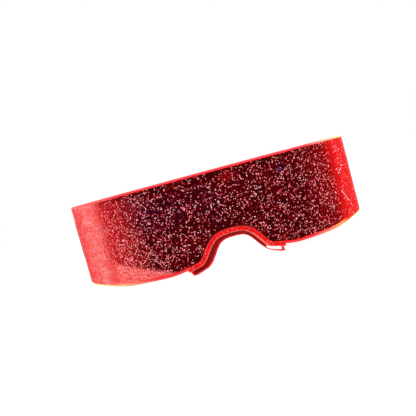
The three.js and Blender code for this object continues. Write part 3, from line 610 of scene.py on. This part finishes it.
# Nose pad: a soft silicone channel, extruded straight and pressed over the edge of the notch.
# Its lip lies on the lens's face, and its flange hangs down behind and ends in a rounded bead.
pad_reach = 26 * mm
lip_front, lip_back = -1.2 * mm, -0.3 * mm
lip_cover, back_cover = 1.3 * mm, 1.3 * mm
channel_gap = 0.3 * mm
channel_back = sheet_thickness + channel_gap
pad_wall = 0.9 * mm
pad_under = 1.1 * mm
flange_flare = 1.6 * mm
flange_drop = 4.4 * mm
bead_height = 0.9 * mm
bead_swell = 0.2 * mm
shoulder_drop, shoulder_width = 0.25 * mm, 0.3 * mm
flange_shares = ((0, 0.88), (0.5, 0.85), (0.72, 0.85), (0.92, 0.98), (1, 0.88))
flange_lean = 2.4 * mm
lean_shares = ((-1, 0), (-0.7, 0.62), (0.5, 0.58), (0.8, 0.92), (1, 1))
pad_round = 0.22 * mm
edge_probe = 0.1 * mm
stations = 90


def eased_through(points, place):
    """Value at a place on a line that eases from each point (place, value) to the next."""
    value = np.full_like(place, points[-1][1])
    for (near, before), (far, after) in zip(points, points[1:]):
        here = (place >= near) & (place <= far)
        value = np.where(here, before + (after - before) * ease((place - near) / (far - near)), value)
    return value


def press_on(straight):
    """Places in the straight channel (along, depth, away from the edge) on the notch of the visor."""
    along, depth, away = straight.T
    slope = (lower_edge(along + edge_probe) - lower_edge(along - edge_probe)) / (2 * edge_probe)
    steepness = np.hypot(slope, 1)
    drop = flange_drop * eased_through(flange_shares, np.abs(along) / pad_reach)
    into_flange = np.maximum(away - pad_under, 0) / (flange_drop - pad_under)
    lean = flange_lean * eased_through(lean_shares, along / pad_reach) * into_flange
    away = np.minimum(away, pad_under) + (drop - pad_under) * into_flange
    return bend_hot(np.column_stack((
        along + lean + away * slope / steepness, depth, lower_edge(along) - away / steepness)))


def close_ends(seam):
    """Edit mode steps: merge the seam of a rolled grid, closer than that, and fill its open ends."""
    bpy.ops.mesh.remove_doubles(threshold=seam)
    bpy.ops.mesh.select_all(action="DESELECT")
    bpy.ops.mesh.select_mode(type="EDGE")
    bpy.ops.mesh.select_non_manifold()
    bpy.ops.mesh.edge_face_add()


flange_front, flange_back = channel_back - pad_wall, channel_back + pad_wall
profile = [
    (lip_front, -lip_cover), (lip_back, -lip_cover), (lip_back, channel_gap), (channel_back, channel_gap),
    (channel_back, -back_cover), (flange_back, -back_cover), (flange_back, pad_under),
    (flange_back + flange_flare - bead_swell, flange_drop - bead_height),
    (flange_back + flange_flare + bead_swell, flange_drop - bead_height / 2),
    (flange_back + flange_flare, flange_drop), (channel_back + flange_flare, flange_drop),
    (channel_back + flange_flare - bead_swell, flange_drop - bead_height / 2),
    (channel_back + flange_flare - bead_swell, flange_drop - bead_height),
    (flange_front, pad_under + shoulder_drop), (flange_front - shoulder_width, pad_under),
    (lip_front, pad_under),
]
pad = start_piece(
    "nose_channel", bpy.ops.mesh.primitive_grid_add, size=1,
    x_subdivisions=stations, y_subdivisions=len(profile))
across, up, _ = places_of(pad).T
corner = np.rint((up + 0.5) * len(profile)).astype(int) % len(profile)
rolled = np.array(profile)[corner]
move_to(pad, np.column_stack((across * 2 * pad_reach, rolled)))
edit(pad, lambda: close_ends(0.001 * mm), face_outwards)
round_off(pad, pad_round, 2, angle=50)

# The slot in the foot on the wearer's left: the flange is open there above its bead
slot_end = pad_reach - 0.8 * mm
slot_start = slot_end - 7.7 * mm
slot_depth, slot_corner = 8 * mm, 0.95 * mm
slot_top, slot_foot = pad_under + 0.1 * mm, flange_drop - bead_height - 0.2 * mm
slot = start_piece("slot", bpy.ops.mesh.primitive_cube_add, size=1)
slot.dimensions = (slot_end - slot_start, slot_depth, slot_foot - slot_top)
slot.location = ((slot_start + slot_end) / 2, channel_back, (slot_top + slot_foot) / 2)
bpy.ops.object.transform_apply()


def lies_along(axis):
    """A test for straight edges that run along that axis."""
    def test(edge):
        run = edge.verts[1].co - edge.verts[0].co
        return abs(run[axis]) > 0.99 * run.length
    return test


edit(slot, lambda: bpy.ops.mesh.bevel(offset=slot_corner, segments=5, affect="EDGES"), edges=lies_along(1))


def take_away(piece, *cutters):
    """Cuts the other solids out of the piece and removes them."""
    for cutter in cutters:
        finish_with(piece, "BOOLEAN", operation="DIFFERENCE", object=cutter, solver="EXACT")
        bpy.data.objects.remove(cutter)


take_away(pad, slot)
keep_flat_places(pad, "channel_places")
move_to(pad, press_on(places_of(pad)))
smooth(pad, 50)

# Clear red silicone: satin and faintly grainy from its mould. The lip beside the lit edge is painted
# bright, the flange behind it is painted deep red for its shade, and the thin edges have painted pale
# highlight lines.
silicone, tree = start_material("moulded_clear_red_silicone")
channel = add_node(tree, "SeparateXYZ", add_node(tree, "UVMap", uv_map="channel_places")).outputs
here = add_node(tree, "TexCoord").outputs["Object"]
from_lip = add_node(tree, "MapRange", channel["Y"], -lip_cover / mm, flange_drop / mm)
reds_with_painted_light = add_node(tree, "ValToRGB", from_lip)
# Down from the lip's front: the bright lip, a painted highlight at its lower edge, the flange in painted
# shade and painted highlights on the bead
set_tones(
    reds_with_painted_light, (0, "#f0302c"), (0.08, "#cc1616"), (0.36, "#dc1c1c"), (0.415, "#ff7e78"), (0.45, "#960a08"),
    (0.55, "#7c0b09"), (0.82, "#8c0c0a"), (0.91, "#e04442"), (1, "#f05a58"))
grain = add_node(tree, "TexNoise", {"Vector": here, "Scale": 1 / (1.1 * mm), "Detail": 3})
grain_tone = add_node(tree, "MapRange", grain, 0.35, 0.65, 0.6, 1.25)
red = add_node(tree, "VectorMath", reds_with_painted_light, grain_tone, operation="SCALE")
# Painted light: the ends of the strip are painted as bright as the lip, and so is the bead under the slot
reach = add_node(tree, "Math", channel["X"], operation="ABSOLUTE")
painted_lit_ends = add_node(tree, "MapRange", reach, 24.6, 25.1, 0, 0.85)
red = add_node(tree, "Mix", painted_lit_ends, red, "#e22626", data_type="RGBA")
beside_slot = add_node(tree, "MapRange", channel["X"], 16.5, 18, 0, 0.9)
in_bead = add_node(tree, "MapRange", channel["Y"], 3, 3.25)
painted_lit_bead = add_node(tree, "Math", beside_slot, in_bead, operation="MULTIPLY")
red = add_node(tree, "Mix", painted_lit_bead, red, "#ea4b49", data_type="RGBA")
# Pale specks 1.5 mm apart dot the lip
specks = add_node(tree, "TexVoronoi", {"Vector": here, "Scale": 1 / (1.5 * mm)})
speck = add_node(tree, "MapRange", specks, 0.12, 0.3, 0.55, 0)
on_lip = add_node(tree, "MapRange", channel["Y"], 0.3, 0.7, 1, 0)
speck = add_node(tree, "Math", speck, on_lip, operation="MULTIPLY")
red = add_node(tree, "Mix", speck, red, "#ff8680", data_type="RGBA")
bump = add_node(tree, "Bump", {"Height": grain, "Strength": 0.3, "Distance": 0.1 * mm})
# The faint glow all over the pad is painted light
rubbery = add_node(tree, "BsdfPrincipled", {
    "Base Color": red, "Roughness": 0.38, "IOR": 1.41, "Specular IOR Level": 0.06, "Normal": bump,
    "Emission Color": red, "Emission Strength": 0.3})
add_node(tree, "OutputMaterial", rubbery)
pad.data.materials.append(silicone)
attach(pad, "visor")
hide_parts("nose_pad")

# Light boxes: flat two-part cases of injection-moulded black ABS that grip the ends of the lens.
# The outer tray carries the cell ring, the screw bosses, a peg through the lens and the hinge lugs.
# Sizes inside a box are in millimetres from its front corner beside the head: x outwards, y rearwards.
cover_low, cover_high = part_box("left_light_box_cover")
box_corner = np.array((cover_low.x, cover_low.y, (cover_low.z + cover_high.z) / 2))
case_thickness, case_length, case_half = 8.5, 38, 12.5
case_corner, case_bevel, case_wall = 4, 0.9, 1.5
seam_x, seam_bevel = 1.4, 0.2
wall_x = case_thickness - case_wall
clearance = 0.3
overrun, bite = 1, 0.1
screw_hole, screw_recess, seat_depth, seat_chamfer = 1.1, 1.9, 0.9, 0.2


def span(node):
    """Low and high corners of a node of the left box, in the box's own millimetres."""
    return [Vector((np.array(corner) - box_corner) / mm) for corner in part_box(f"left_{node}")]


def middle(node):
    low, high = span(node)
    return (low + high) / 2


def block(name, low, high, corner=0.0):
    """A block between two corners, its edges along x rounded to a corner radius."""
    piece = start_piece(name, bpy.ops.mesh.primitive_cube_add, size=1)
    low, high = Vector(low), Vector(high)
    piece.scale = high - low
    piece.location = (low + high) / 2
    bpy.ops.object.transform_apply()
    if corner:
        edit(piece, lambda: bpy.ops.mesh.bevel(offset=corner, segments=8, affect="EDGES"),
             edges=lies_along(0))
    return piece


def turn_on_lathe(name, outline, centre=(0, 0, 0), upright=False, sides=48):
    """A turned piece: draws an outline of (radius, place) points and spins it about its axis."""
    axis, outwards = (Vector((0, 0, 1)), Vector((1, 0, 0))) if upright else (
        Vector((1, 0, 0)), Vector((0, 1, 0)))
    points = [Vector(centre) + radius * outwards + place * axis for radius, place in outline]
    piece = start_piece(name, bpy.ops.mesh.primitive_plane_add, size=1)

    def draw():
        bpy.ops.mesh.merge(type="CENTER")
        bpy.ops.transform.translate(value=points[0])
        for here, there in zip(points, points[1:]):
            bpy.ops.mesh.extrude_region_move(TRANSFORM_OT_translate={"value": there - here})
        bpy.ops.mesh.select_all(action="SELECT")
        bpy.ops.mesh.spin(steps=sides, angle=2 * math.pi, center=centre, axis=axis)
        bpy.ops.mesh.select_all(action="SELECT")
        bpy.ops.mesh.remove_doubles(threshold=0.001)

    edit(piece, draw, face_outwards)
    return piece


def bar(name, radius, start, end, centre=(0, 0, 0), upright=False):
    return turn_on_lathe(
        name, [(0, start), (radius, start), (radius, end), (0, end)], centre, upright)


def screw_seat(at):
    """The sunk seat of a screw and the hole below it."""
    return turn_on_lathe("screw_seat", [
        (0, -overrun), (screw_recess + seat_chamfer, -overrun), (screw_recess + seat_chamfer, 0),
        (screw_recess, seat_chamfer), (screw_recess, seat_depth), (screw_hole, seat_depth),
        (screw_hole, wall_x), (0, wall_x)], at)


def fuse(piece, *parts):
    for part in parts:
        finish_with(piece, "BOOLEAN", operation="UNION", object=part, solver="EXACT")
        bpy.data.objects.remove(part)


def copy_of(piece):
    copy = piece.copy()
    copy.data = piece.data.copy()
    bpy.context.collection.objects.link(copy)
    return copy


def copy_at(piece, node):
    """A copy of a turned piece in the place of a node of the left box."""
    copy, at = copy_of(piece), middle(node)
    move_to(copy, places_of(copy) + (span(node)[0].x, at.y, at.z))
    return copy


def fit_both_sides(piece, name, body, material, node):
    places = places_of(piece) * mm + box_corner
    piece.data.materials.append(material)
    for side, hand in (("left", 1), ("right", -1)):
        fitted = copy_of(piece)
        fitted.name = fitted.data.name = f"{side}_{name}"
        move_to(fitted, places * (hand, 1, 1))
        if hand < 0:
            edit(fitted, lambda: bpy.ops.mesh.flip_normals())
        smooth(fitted)
        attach(fitted, body if body == "visor" else f"{side}_{body}")
        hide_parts(f"{side}_{node}")
    bpy.data.objects.remove(piece)


def grained_finish(name, dark, pale, grain, roughness, bump=0.02, metallic=0.0, stretch=(1, 1, 1)):
    """A finish with a fine grain of that size and slow changes in tone and gloss."""
    material, tree = start_material(name)
    here = add_node(tree, "TexCoord").outputs["Object"]
    stretched = add_node(tree, "VectorMath", here, stretch, operation="MULTIPLY")
    fine = add_node(tree, "TexNoise", {"Vector": stretched, "Scale": 1 / (grain * mm), "Detail": 3})
    slow = add_node(tree, "TexNoise", {"Vector": here, "Scale": 1 / (9 * mm), "Detail": 4})
    mixed = add_node(tree, "Math", fine, slow, operation="ADD")
    share = add_node(tree, "MapRange", mixed, 0.7, 1.3)
    tone = add_node(tree, "Mix", share, dark, pale, data_type="RGBA")
    gloss = add_node(tree, "MapRange", share, 0, 1, roughness[0], roughness[1])
    relief = add_node(tree, "Bump", {"Height": fine, "Strength": 0.4, "Distance": bump * mm})
    shader = add_node(tree, "BsdfPrincipled", {
        "Base Color": tone, "Roughness": gloss, "Metallic": metallic,
        "Specular IOR Level": 0.5 if metallic else 0.28, "Normal": relief})
    add_node(tree, "OutputMaterial", shader)
    return material


def half_case(name, cleared):
    """The whole case, parted along its seam, with a small chamfer along the parting line."""
    half = block(name, (0, 0, -case_half), (case_thickness, case_length, case_half), case_corner)
    round_off(half, case_bevel, 5)
    edit(half,
         lambda: bpy.ops.mesh.bisect(
             plane_co=(seam_x, 0, 0), plane_no=(1, 0, 0), use_fill=True, **{cleared: True}),
         lambda: bpy.ops.mesh.bevel(offset=seam_bevel, segments=2, affect="EDGES"))
    return half


# ABS: black, with the even satin grain of a spark-eroded mould, 0.4 mm, and smoother worn patches
black_abs = grained_finish("spark_grained_black_abs", "#111113", "#1e1e21", 0.4, (0.36, 0.52))

shell = half_case("battery_case", "clear_inner")
button_middle, cell_middle = middle("button"), middle("coin_cell_outer")
hinge = middle("hinge_pin")
on_hinge = {"centre": (hinge.x, hinge.y, 0), "upright": True}
screw_spots = [middle(f"case_screw_{end}") for end in ("front", "rear")]
door_screw_spot = middle("battery_door_screw")
lens_tail_side, lens_tail_half = 2, 9
tail_inner = span("circuit_board")[1].x - clearance
tail_outer = case_thickness - lens_tail_side + clearance
tail_half = lens_tail_half + clearance
dish_depth, dish_reach, dish_half, dish_corner = 0.35, 4.3, 3.3, 2.9
hole_reach, hole_half, hole_corner = 3.3, 2.3, 1.9
take_away(
    shell,
    block("hollow", (0, case_wall, case_wall - case_half),
          (wall_x, case_length - case_wall, case_half - case_wall), case_corner - case_wall),
    block("tail_slot", (tail_inner, -overrun, -tail_half), (tail_outer, case_wall + overrun, tail_half)),
    block("dish", (case_thickness - dish_depth, button_middle.y - dish_reach, -dish_half),
          (case_thickness + overrun, button_middle.y + dish_reach, dish_half), dish_corner),
    block("button_hole", (wall_x - overrun, button_middle.y - hole_reach, -hole_half),
          (case_thickness + overrun, button_middle.y + hole_reach, hole_half), hole_corner))
bay_inner, bay_outer, bay_top = 6.55, 7.25, 2.0
mouth_start, mouth_end, mouth_half = -9, -3.1, 5.2
bay = turn_on_lathe("bay", [
    (bay_inner, bay_top), (bay_outer, bay_top), (bay_outer, wall_x + bite), (bay_inner, wall_x + bite),
    (bay_inner, bay_top)], (0, cell_middle.y, 0), sides=64)
take_away(bay, block("mouth", (0, cell_middle.y + mouth_start, -mouth_half),
                     (wall_x, cell_middle.y + mouth_end, mouth_half)))
boss_radius = 1.8
bosses = [bar("boss", boss_radius, seam_x, wall_x + bite, (0, at.y, at.z)) for at in screw_spots]
bosses.append(bar("boss", boss_radius, seam_x + bite, wall_x + bite, (0, door_screw_spot.y, 0)))
peg_radius, peg_y = 1.5, 3.7
peg = bar("peg", peg_radius, tail_inner + clearance, wall_x + bite, (0, peg_y, 0))
knuckle_half, lug_height, barrel_radius = 3.5, 3.5, 3
lug_round = 0.35
lugs = []
for low in (knuckle_half + clearance, -knuckle_half - clearance - lug_height):
    lug = block("lug", (hinge.x - barrel_radius, case_length - case_wall, low),
                (hinge.x + barrel_radius, hinge.y, low + lug_height))
    fuse(lug, bar("lug_end", barrel_radius, low, low + lug_height, **on_hinge))
    round_off(lug, lug_round, 3)
    lugs.append(lug)
fuse(shell, bay, *bosses, peg, *lugs)
pin_hole = 1.3
take_away(
    shell,
    *(bar("pilot", screw_hole, 0, wall_x, (0, at.y, at.z)) for at in (*screw_spots, door_screw_spot)),
    bar("pin_hole", pin_hole, -case_half, case_half, **on_hinge))
fit_both_sides(shell, "battery_case", "visor", black_abs, "light_box_shell")

# Case cover: the flat inner half of the box, of the same ABS, held by two sunk screws.
# It has a stepped opening for the battery hatch, and two ribs behind it hold the board.
door_low, door_high = span("battery_door")
ledge, flange = 0.7, 0.7
ledge_corner, opening_corner = 2.3, 2
cover = half_case("case_lid", "clear_outer")
take_away(
    cover,
    block("ledge", (-overrun, door_low.y - clearance, door_low.z - clearance),
          (flange, door_high.y + clearance, door_high.z + clearance), ledge_corner),
    block("opening", (0, door_low.y + ledge, door_low.z + ledge),
          (wall_x, door_high.y - ledge, door_high.z - ledge), opening_corner),
    *(screw_seat((0, at.y, at.z)) for at in screw_spots))
board_low, board_high = span("circuit_board")
rib_inset, rib_half, rib_spread = 1.2, 0.6, 5.5
fuse(cover, *(block(
    "rib", (seam_x - bite, board_low.y + rib_inset, z - rib_half),
    (board_low.x, board_high.y - rib_inset, z + rib_half)) for z in (-rib_spread, rib_spread)))
fit_both_sides(cover, "case_lid", "visor", black_abs, "light_box_cover")

# Battery hatch: a moulded ABS plate with finger grooves, a plug that centres it in the opening and
# a round pad that presses the cells together. Its screw stays captive in a sunk seat.
hatch_corner, plug_corner, hatch_round = 2, 1.7, 0.15
hatch = block("hatch", (0, door_low.y, door_low.z), (flange, door_high.y, door_high.z), hatch_corner)
round_off(hatch, hatch_round, 2)
in_ledge = ledge + clearance
plug = block("plug", (flange - bite, door_low.y + in_ledge, door_low.z + in_ledge),
             (seam_x, door_high.y - in_ledge, door_high.z - in_ledge), plug_corner)
cell_pad_radius = 5.2
fuse(hatch, plug, bar("cell_pad", cell_pad_radius, flange - bite, door_high.x, (0, cell_middle.y, 0)))
groove_radius, groove_depth, groove_half = 0.7, 0.3, 4.5
groove_count, groove_pitch, first_groove = 4, 1.6, 2.2
take_away(
    hatch, screw_seat((0, door_screw_spot.y, 0)),
    *(bar("groove", groove_radius, -groove_half, groove_half,
          (groove_depth - groove_radius, door_low.y + first_groove + groove_pitch * at, 0), upright=True)
      for at in range(groove_count)))
fit_both_sides(hatch, "hatch", "hatch", black_abs, "battery_door")

# Screws: zinc-plated steel, pan headed with a cross recess, with a rolled thread that cuts its own
# way into the bosses.
head_radius, head_height, shank, core, tip = 1.6, 0.8, 0.8, 0.58, 5.3
thread_pitch, thread_turns, thread_start = 0.5, 8, 0.3
cross_reach, cross_half, cross_depth = 0.85, 0.19, 0.45
thread = [(radius, head_height + thread_start + thread_pitch * (turn + half / 2))
          for turn in range(thread_turns) for half, radius in enumerate((core, shank))]
screw = turn_on_lathe("screw", [
    (0, 0), (1.1, 0), (1.42, 0.08), (1.56, 0.22), (head_radius, 0.4), (head_radius, head_height),
    (core, head_height), *thread, (0, tip)], sides=32)
take_away(screw, *(
    block("recess", (-overrun, -wide, -high), (cross_depth, wide, high))
    for wide, high in ((cross_reach, cross_half), (cross_half, cross_reach))))
# Zinc plate: bright bluish grey, with fine rolling marks
zinc = grained_finish("zinc_plated_steel", "#8f959c", "#c3c8cd", 0.3, (0.24, 0.38), 0.01, 1.0)
for node, body in (
        ("case_screw_front", "visor"), ("case_screw_rear", "visor"), ("battery_door_screw", "hatch")):
    name = node.replace("screw", "pan_head_screw")
    fit_both_sides(copy_at(screw, node), name, body, zinc, node)
bpy.data.objects.remove(screw)

# Button: a cap of moulded keypad rubber with a finger dish, kept in its hole by a flange.
# Its top stands a little proud of the dish that is moulded into the case.
button_low, button_high = span("button")
cap_reach, cap_half, cap_corner, cap_round = 3, 2, 1.6, 0.45
cap_flange, cap_flange_corner = 0.6, 2.2
finger_steps, finger_ring = (0.12, 0.1), 0.5
near_top = button_high.x - 0.01
cap = block("cap", (button_low.x, button_middle.y - cap_reach, -cap_half),
            (button_high.x, button_middle.y + cap_reach, cap_half), cap_corner)
edit(cap,
     lambda: bpy.ops.mesh.bevel(offset=cap_round, segments=4, affect="EDGES"),
     edges=lambda edge: all(corner.co.x > near_top for corner in edge.verts))


def sink_finger_dish():
    """Edit mode steps: the cap's top goes down in rings."""
    for drop in finger_steps:
        bpy.ops.mesh.inset(thickness=finger_ring)
        bpy.ops.transform.translate(value=(-drop, 0, 0))


edit(cap, sink_finger_dish,
     faces=lambda face: face.normal.x > 0.99 and face.calc_center_median().x > near_top)
fuse(cap, block(
    "flange", (button_low.x, button_middle.y - cap_reach - cap_flange, -cap_half - cap_flange),
    (wall_x, button_middle.y + cap_reach + cap_flange, cap_half + cap_flange), cap_flange_corner))
# Keypad rubber: dark grey, dull, with a barely seen dusty grain
keypad_rubber = grained_finish("moulded_keypad_rubber", "#26262a", "#35353a", 0.35, (0.6, 0.75))
fit_both_sides(cap, "push_cap", "button_cap", keypad_rubber, "button")

# Button cells: nickel-plated steel, each a deep drawn can crimped over the rim of a smaller cap,
# with a groove between can and cap, over the sealing ring. The outline is the radius and the depth.
cell = turn_on_lathe("cell", [
    (0, 0), (5.8, 0), (6.1, 0.1), (6.25, 0.35), (6.25, 1.3), (6.17, 1.5), (5.95, 1.6), (5.5, 1.6),
    (5.42, 1.42), (5.28, 1.42), (5.2, 1.55), (5.2, 1.82), (5.08, 1.95), (4.9, 2), (0, 2)], sides=72)
# Nickel plate: warm bright metal with the fine rings of spinning
spun_pitch = 0.4 * mm
nickel, tree = start_material("spun_nickel_plate")
here = add_node(tree, "TexCoord").outputs["Object"]
centre = Vector(box_corner) + cell_middle * mm
from_centre = add_node(tree, "VectorMath", here, (0, centre.y, centre.z), operation="SUBTRACT")
flattened = add_node(tree, "VectorMath", from_centre, (0, 1, 1), operation="MULTIPLY")
rings = add_node(tree, "TexWave", {
    "Vector": flattened, "Scale": math.pi / 10 / spun_pitch, "Distortion": 0.6, "Detail": 2},
    wave_type="RINGS", rings_direction="SPHERICAL").outputs["Fac"]
ring_gloss = add_node(tree, "MapRange", rings, 0, 1, 0.2, 0.32)
ring_tone = add_node(tree, "Mix", rings, "#b7b3ab", "#d2cec6", data_type="RGBA")
nickel_shader = add_node(tree, "BsdfPrincipled", {
    "Base Color": ring_tone, "Roughness": ring_gloss, "Metallic": 1})
add_node(tree, "OutputMaterial", nickel_shader)
for node in ("coin_cell_inner", "coin_cell_outer"):
    name = node.replace("coin", "button")
    fit_both_sides(copy_at(cell, node), name, "visor", nickel, node)
bpy.data.objects.remove(cell)

# Hinge pin: turned zinc-plated steel with a slotted head, pushed down through both lugs.
# The head rests on the upper lug, and the arm's knuckle turns on the shank.
pin_low, pin_high = span("hinge_pin")
pin_radius, pin_head_radius, pin_head_height = 1, 1.8, 0.8
driver_reach, driver_half, driver_depth = 2, 0.22, 0.4
pin = turn_on_lathe("pin", [
    (0, pin_low.z), (0.75, pin_low.z), (pin_radius, pin_low.z + 0.25),
    (pin_radius, pin_high.z - pin_head_height), (pin_head_radius, pin_high.z - pin_head_height),
    (pin_head_radius, pin_high.z - 0.4), (1.68, pin_high.z - 0.15), (1.4, pin_high.z), (0, pin_high.z)],
    **on_hinge, sides=32)
take_away(pin, block(
    "slot", (hinge.x - driver_reach, hinge.y - driver_half, pin_high.z - driver_depth),
    (hinge.x + driver_reach, hinge.y + driver_half, pin_high.z + overrun)))
fit_both_sides(pin, "slotted_pin", "visor", zinc, "hinge_pin")

# Temple arms: moulded black nylon, a knuckle, a blade that narrows as it drops over the ear, with a
# sunk panel on the side towards the head, and a thin tang inside the ear sleeve.
arm_length = 66
arm_thickness, root_height, bend_height, arm_round = 3.6, 12, 6.8, 1.0
sleeve_height, sleeve_thickness = 8.6, 5.4
arm_start, blade_end, tang_end = 3.4, 0.62 * arm_length, 0.92 * arm_length
bend_start, bend_growth = 0.4, 1.7
arm_drop = span("ear_tip")[0].z + sleeve_height / 2
arm_probe = 0.1


def arm_line(along):
    """Height of the arm's middle line, measured from the hinge, at a place along the arm."""
    past_bend = np.maximum(along / arm_length - bend_start, 0) / (1 - bend_start)
    return arm_drop * past_bend ** bend_growth


def lay_along_arm(piece):
    """Bends a straight piece (along the arm, across it, height) down over the ear, behind the box."""
    along, across, height = places_of(piece).T
    reach = np.minimum(along, arm_length)
    slope = (arm_line(reach + arm_probe) - arm_line(reach - arm_probe)) / (2 * arm_probe)
    steepness = np.hypot(slope, 1)
    past_end = along - reach
    y = reach + (past_end - height * slope) / steepness
    z = arm_line(reach) + (past_end * slope + height) / steepness
    move_to(piece, np.column_stack((hinge.x + across, hinge.y + y, z)))
    edit(piece, face_outwards)


def blade_half(along):
    return (root_height + (bend_height - root_height) * ease(
        (along - arm_start) / (blade_end - arm_start))) / 2


def arm_strip(name, start, end, half, thickness, across=0.0, bevel=0.0):
    """A bar of that thickness and half height, bent as the arm is."""
    strip = cut_blank(
        name, start, end, step=1.2, rows=4, low=lambda at: -half(at), high=half,
        depth=across - thickness / 2, thickness=thickness)
    if bevel:
        round_off(strip, bevel, 4)
    lay_along_arm(strip)
    return strip


arm = arm_strip("temple", arm_start, blade_end, blade_half, arm_thickness, bevel=arm_round)
web_in_blade = 6
web = block("web", (hinge.x - arm_thickness / 2, hinge.y, -knuckle_half),
            (hinge.x + arm_thickness / 2, hinge.y + arm_start + web_in_blade, knuckle_half))
chamfer = 0.3
knuckle = turn_on_lathe("knuckle", [
    (0, -knuckle_half), (barrel_radius - chamfer, -knuckle_half),
    (barrel_radius, chamfer - knuckle_half), (barrel_radius, knuckle_half - chamfer),
    (barrel_radius - chamfer, knuckle_half), (0, knuckle_half)], **on_hinge)
tang_half, tang_thickness = 1.8, 1.8
fuse(arm, arm_strip(
    "tang", blade_end - arm_start, tang_end, lambda at: np.full_like(at, tang_half), tang_thickness),
     web, knuckle)
panel_start, panel_end = 13, blade_end - 5
panel_depth, panel_border = 0.4, 2.0
take_away(
    arm,
    arm_strip("panel", panel_start, panel_end, lambda at: blade_half(at) - panel_border, 2 * panel_depth,
              across=-arm_thickness / 2),
    bar("pin_hole", pin_hole, -case_half, case_half, **on_hinge))
# Nylon: near black, a little streaky along the flow of the melt
nylon = grained_finish(
    "moulded_black_nylon", "#101012", "#1c1c1f", 0.6, (0.4, 0.55), 0.02, stretch=(1, 0.25, 1))
fit_both_sides(arm, "temple", "arm", nylon, "temple_arm")

# Ear sleeves: soft moulded rubber, pushed over the tang, oval, round at the end and with four fine
# rings that keep them from slipping.
sleeve_start = blade_end + clearance
sleeve_step, end_steps, end_bluntness = 0.4, 12, 0.8
lead_in = [(sleeve_start, 0.88), (sleeve_start + 0.3, 0.97), (sleeve_start + 0.8, 1.0)]
along_sleeve = np.arange(sleeve_start + 1.2, arm_length, sleeve_step)
ring_start, ring_pitch, ring_depth, ring_count = 50, 2.4, 0.035, 4
in_rings = (along_sleeve > ring_start) & (along_sleeve < ring_start + ring_count * ring_pitch)
ripple = 1 - in_rings * ring_depth * (1 - np.cos(2 * math.pi * (along_sleeve - ring_start) / ring_pitch))
round_end = [(arm_length + sleeve_height / 2 * math.sin(turn), math.cos(turn) ** end_bluntness)
             for turn in np.linspace(0, math.pi / 2, end_steps)]
stations = np.array([*lead_in, *zip(along_sleeve, ripple), *round_end])
around = 40
sleeve = start_piece(
    "sleeve", bpy.ops.mesh.primitive_grid_add, size=1,
    x_subdivisions=len(stations) - 1, y_subdivisions=around)
across, up, _ = places_of(sleeve).T
station = stations[np.rint((across + 0.5) * (len(stations) - 1)).astype(int)]
turn = 2 * math.pi * (up + 0.5)
half_height = (bend_height + (sleeve_height - bend_height) * ease(
    (station[:, 0] - blade_end) / (arm_length - blade_end))) / 2
squareness = 0.7
oval = [np.sign(part) * np.abs(part) ** squareness for part in (np.cos(turn), np.sin(turn))]
move_to(sleeve, np.column_stack((
    station[:, 0], station[:, 1] * sleeve_thickness / 2 * oval[0], station[:, 1] * half_height * oval[1])))
edit(sleeve, lambda: close_ends(0.001))
lay_along_arm(sleeve)
bore_half, bore_thickness = 2.1, 2.4
take_away(sleeve, arm_strip(
    "bore", blade_end - arm_start, tang_end + clearance, lambda at: np.full_like(at, bore_half),
    bore_thickness))
# Sleeve rubber: soft black, matt, with a fine dusty bloom
sleeve_rubber = grained_finish("moulded_soft_rubber", "#161618", "#252528", 0.5, (0.62, 0.8), 0.03)
fit_both_sides(sleeve, "sleeve", "arm", sleeve_rubber, "ear_tip")

# Circuit board: green glass-epoxy, 1 mm thick, with copper tracks under its solder mask.
# The tracks are 0.5 mm wide and 1.6 mm apart, and stand up a little through the mask.
solder_mask, tree = start_material("green_solder_mask")
here = add_node(tree, "TexCoord").outputs["Object"]
places = add_node(tree, "SeparateXYZ", here).outputs
sheet = add_node(tree, "CombineXYZ", places["Y"], places["Z"])
tracks = add_node(tree, "TexBrick", {
    "Vector": sheet, "Color1": "#1c6a3c", "Color2": "#185f36", "Mortar": "#0d4527", "Scale": 1,
    "Mortar Size": 0.25 * mm, "Brick Width": 5.2 * mm, "Row Height": 1.6 * mm})
weave = add_node(tree, "TexNoise", {"Vector": here, "Scale": 1 / (0.5 * mm), "Detail": 2})
relief = add_node(tree, "Bump", {"Height": tracks.outputs["Fac"], "Strength": 0.5, "Distance": 0.03 * mm})
mask_gloss = add_node(tree, "MapRange", weave, 0, 1, 0.25, 0.4)
mask_shader = add_node(tree, "BsdfPrincipled", {
    "Base Color": tracks, "Roughness": mask_gloss, "Normal": relief})
add_node(tree, "OutputMaterial", mask_shader)

# Diodes: white moulded packages with red light in the window, a little yellowed by the epoxy.
# Three on each board shine into the end of the lens.
diode, tree = start_material("epoxy_diode_package")
here = add_node(tree, "TexCoord").outputs["Object"]
cloud = add_node(tree, "TexNoise", {"Vector": here, "Scale": 1 / (0.8 * mm), "Detail": 2})
package = add_node(tree, "Mix", cloud, "#f6e9d2", "#f2d6c8", data_type="RGBA")
diode_shader = add_node(tree, "BsdfPrincipled", {
    "Base Color": package, "Roughness": 0.35, "Emission Color": "#ff2a20", "Emission Strength": 0.8})
add_node(tree, "OutputMaterial", diode_shader)

# Contacts and switch: stamped sheet metal, bronze for the springs and tinned steel for the switch,
# with the fine lines of rolling.
bronze = grained_finish(
    "phosphor_bronze_strip", "#a9824f", "#caa26b", 0.25, (0.25, 0.4), 0.01, 1.0, (1, 1, 0.2))
tinned = grained_finish(
    "tinned_switch_steel", "#9fa1a3", "#c9cacb", 0.25, (0.28, 0.42), 0.01, 1.0, (1, 0.2, 1))
carried_over = {
    "circuit_board": solder_mask, "led_upper": diode, "led_middle": diode, "led_lower": diode,
    "tact_switch": tinned, "cell_rim_contact": bronze, "cell_base_contact": bronze,
}
for side in ("left", "right"):
    for node, material in carried_over.items():
        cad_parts[f"{side}_{node}"].material_slots[0].material = material
